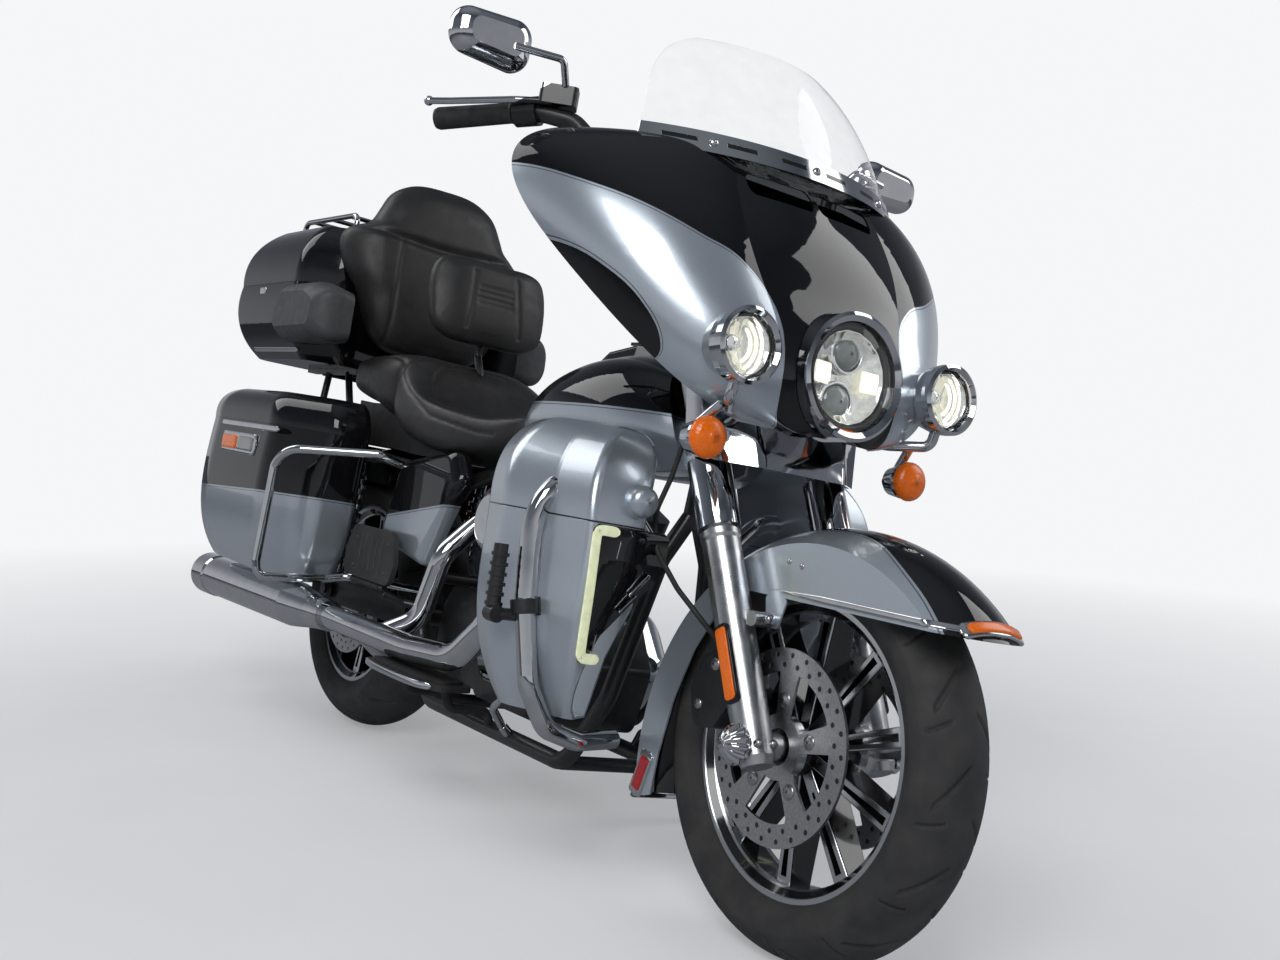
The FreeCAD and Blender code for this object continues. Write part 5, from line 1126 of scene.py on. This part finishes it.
def dash():
    """Gauge bezels and faces, the mirror glass and the windshield bolts."""
    bezels, faces = [], []
    for side, radius in GAUGES:
        at = (side, 1300, 1150)
        rim = [(-6, radius), (8, radius), (9, radius - 2), (8, radius - 6), (-6, radius - 6)]
        bezels.append(turned_grid(at, DASH_AXIS, rim, 48))
        faces.append(turned_grid(at, DASH_AXIS, [(-4, radius - 5), (3, radius - 5), (3.4, 1)], 48))
    cluster("gauge_bezels", bezels, CHROME, "steering", loop=True)
    cluster("gauge_faces", faces, GAUGE, "steering")
    plates = []
    for ahead, shrink in ((1030.0, 1.0), (1024.5, 1.0), (1024.0, 0.985)):
        ring = oval(140 * shrink, 82 * shrink, 3.5, 48)
        plates.append(np.stack([475 + ring[:, 0], np.full(48, ahead), 1393 + ring[:, 1]], 1))
    cluster("mirror_glass", both_sides([np.array(plates)]), MIRROR_GLASS, "steering")
    heads = []
    for side in (-190.0, 0.0, 190.0):
        way = np.array([side, math.sqrt(SHIELD_RADIUS ** 2 - side ** 2), 0.0]) / SHIELD_RADIUS
        heads.append(dome((0, 959.7, 1257) + way * 426, way + (0, 0, 0.3), 8, 5, 24))
    cluster("windshield_bolts", heads, CHROME, "steering")


# Stage: floor, backdrop, lamps and the camera at the photograph's angle
PALE = (0.92, 0.925, 0.935)


def seen_ray(tree):
    """One for rays that come straight, or through glass, from the camera."""
    path = add(tree, "ShaderNodeLightPath")
    return maths(tree, "MAXIMUM", path.outputs["Is Camera Ray"], path.outputs["Is Transmission Ray"])


def stage():
    """Pale floor that fades into a pale backdrop and shows a painted dark reflection in metal and gloss, soft
    lamps, and a dimmer ceiling.
    """
    material, tree, shader = new_material("floor_paper")
    coords = objects(tree)
    tone = mottled(tree, coords, 3, 4, (0.84, 0.85, 0.87), (0.87, 0.88, 0.90))
    # Painted reflection: reflected rays see the floor mid grey, darker than it is, so chrome and gloss show a
    # dark ground.
    mirrored = add(tree, "ShaderNodeLightPath").outputs["Is Glossy Ray"]
    settle(tree, shader, Base_Color=mixed(tree, mirrored, tone, (0.34, 0.35, 0.37)), Roughness=0.75)
    length = add(tree, "ShaderNodeVectorMath", operation="LENGTH")
    link(tree, coords, length.inputs[0])
    far = spread(tree, length.outputs["Value"], 1.3, 4.4, 0.3, 1.0)
    seen = seen_ray(tree)
    plain = add(tree, "ShaderNodeEmission", i_0=(*PALE, 1))
    blend = add(tree, "ShaderNodeMixShader")
    link(tree, maths(tree, "MULTIPLY", far, seen), blend.inputs[0])
    link(tree, shader.outputs[0], blend.inputs[1])
    link(tree, plain.outputs[0], blend.inputs[2])
    output = next(n for n in tree.nodes if n.type == "OUTPUT_MATERIAL")
    link(tree, blend.outputs[0], output.inputs[0])
    mesh = bpy.data.meshes.new("floor")
    mesh.from_pydata([(-40, -40, 0), (40, -40, 0), (40, 40, 0), (-40, 40, 0)], [], [(0, 1, 2, 3)])
    mesh.materials.append(material)
    shown("floor", mesh)
    studio = bpy.data.worlds.new("studio")
    bpy.context.scene.world = studio
    studio.use_nodes = True
    tree = studio.node_tree
    background = next(n for n in tree.nodes if n.type == "BACKGROUND")
    split = add(tree, "ShaderNodeSeparateXYZ")
    link(tree, add(tree, "ShaderNodeTexCoord").outputs["Generated"], split.inputs[0])
    sky = ramp(tree, split.outputs[2], [(0.0, (0.50, 0.51, 0.53)), (0.14, (0.44, 0.45, 0.48)),
                                        (0.34, (0.16, 0.17, 0.20)), (0.75, (0.06, 0.07, 0.09)),
                                        (1.0, (0.26, 0.28, 0.31))])
    link(tree, mixed(tree, seen_ray(tree), sky, PALE), background.inputs[0])
    for spot, size, power in (((-3.6, -3.6, 4.4), 3.0, 165), ((4.2, -2.0, 3.6), 3.0, 70),
                              ((-2.5, 3.6, 4.6), 3.5, 90)):
        lamp = bpy.data.lights.new("soft_lamp", "AREA")
        lamp.size = size
        lamp.energy = power
        thing = shown("soft_lamp", lamp)
        thing.location = spot
        thing.rotation_euler = (Vector((0, 0, 0.6)) - Vector(spot)).to_track_quat("-Z", "Y").to_euler()


def camera():
    """Camera with the place, turn, tilt and roll fitted to the photograph."""
    yaw, pitch, roll = (math.radians(t) for t in (214.13, -4.02, 2.08))
    ahead = Vector((-math.sin(yaw) * math.cos(pitch), -math.cos(yaw) * math.cos(pitch), math.sin(pitch)))
    right = ahead.cross(Vector((0, 0, 1))).normalized()
    above_it = right.cross(ahead)
    side = right * math.cos(roll) + above_it * math.sin(roll)
    top = above_it * math.cos(roll) - right * math.sin(roll)
    lens = bpy.data.cameras.new("camera")
    lens.sensor_width = 36.0
    lens.lens = 39.516
    thing = shown("camera", lens)
    place = Vector((-1.3831 + SHIFT[0], -3.2323 + SHIFT[1], 0.8737))
    thing.matrix_world = Matrix.Translation(place) @ Matrix((side, top, -ahead)).transposed().to_4x4()
    bpy.context.scene.camera = thing


padded_pieces()
tyres()
lamps()
fender_trim()
fork_trim()
wheel_trim()
bars()
board_studs()
dash()
signals()
lower_windows()
stage()
camera()
bpy.context.scene.view_settings.view_transform = "Standard"
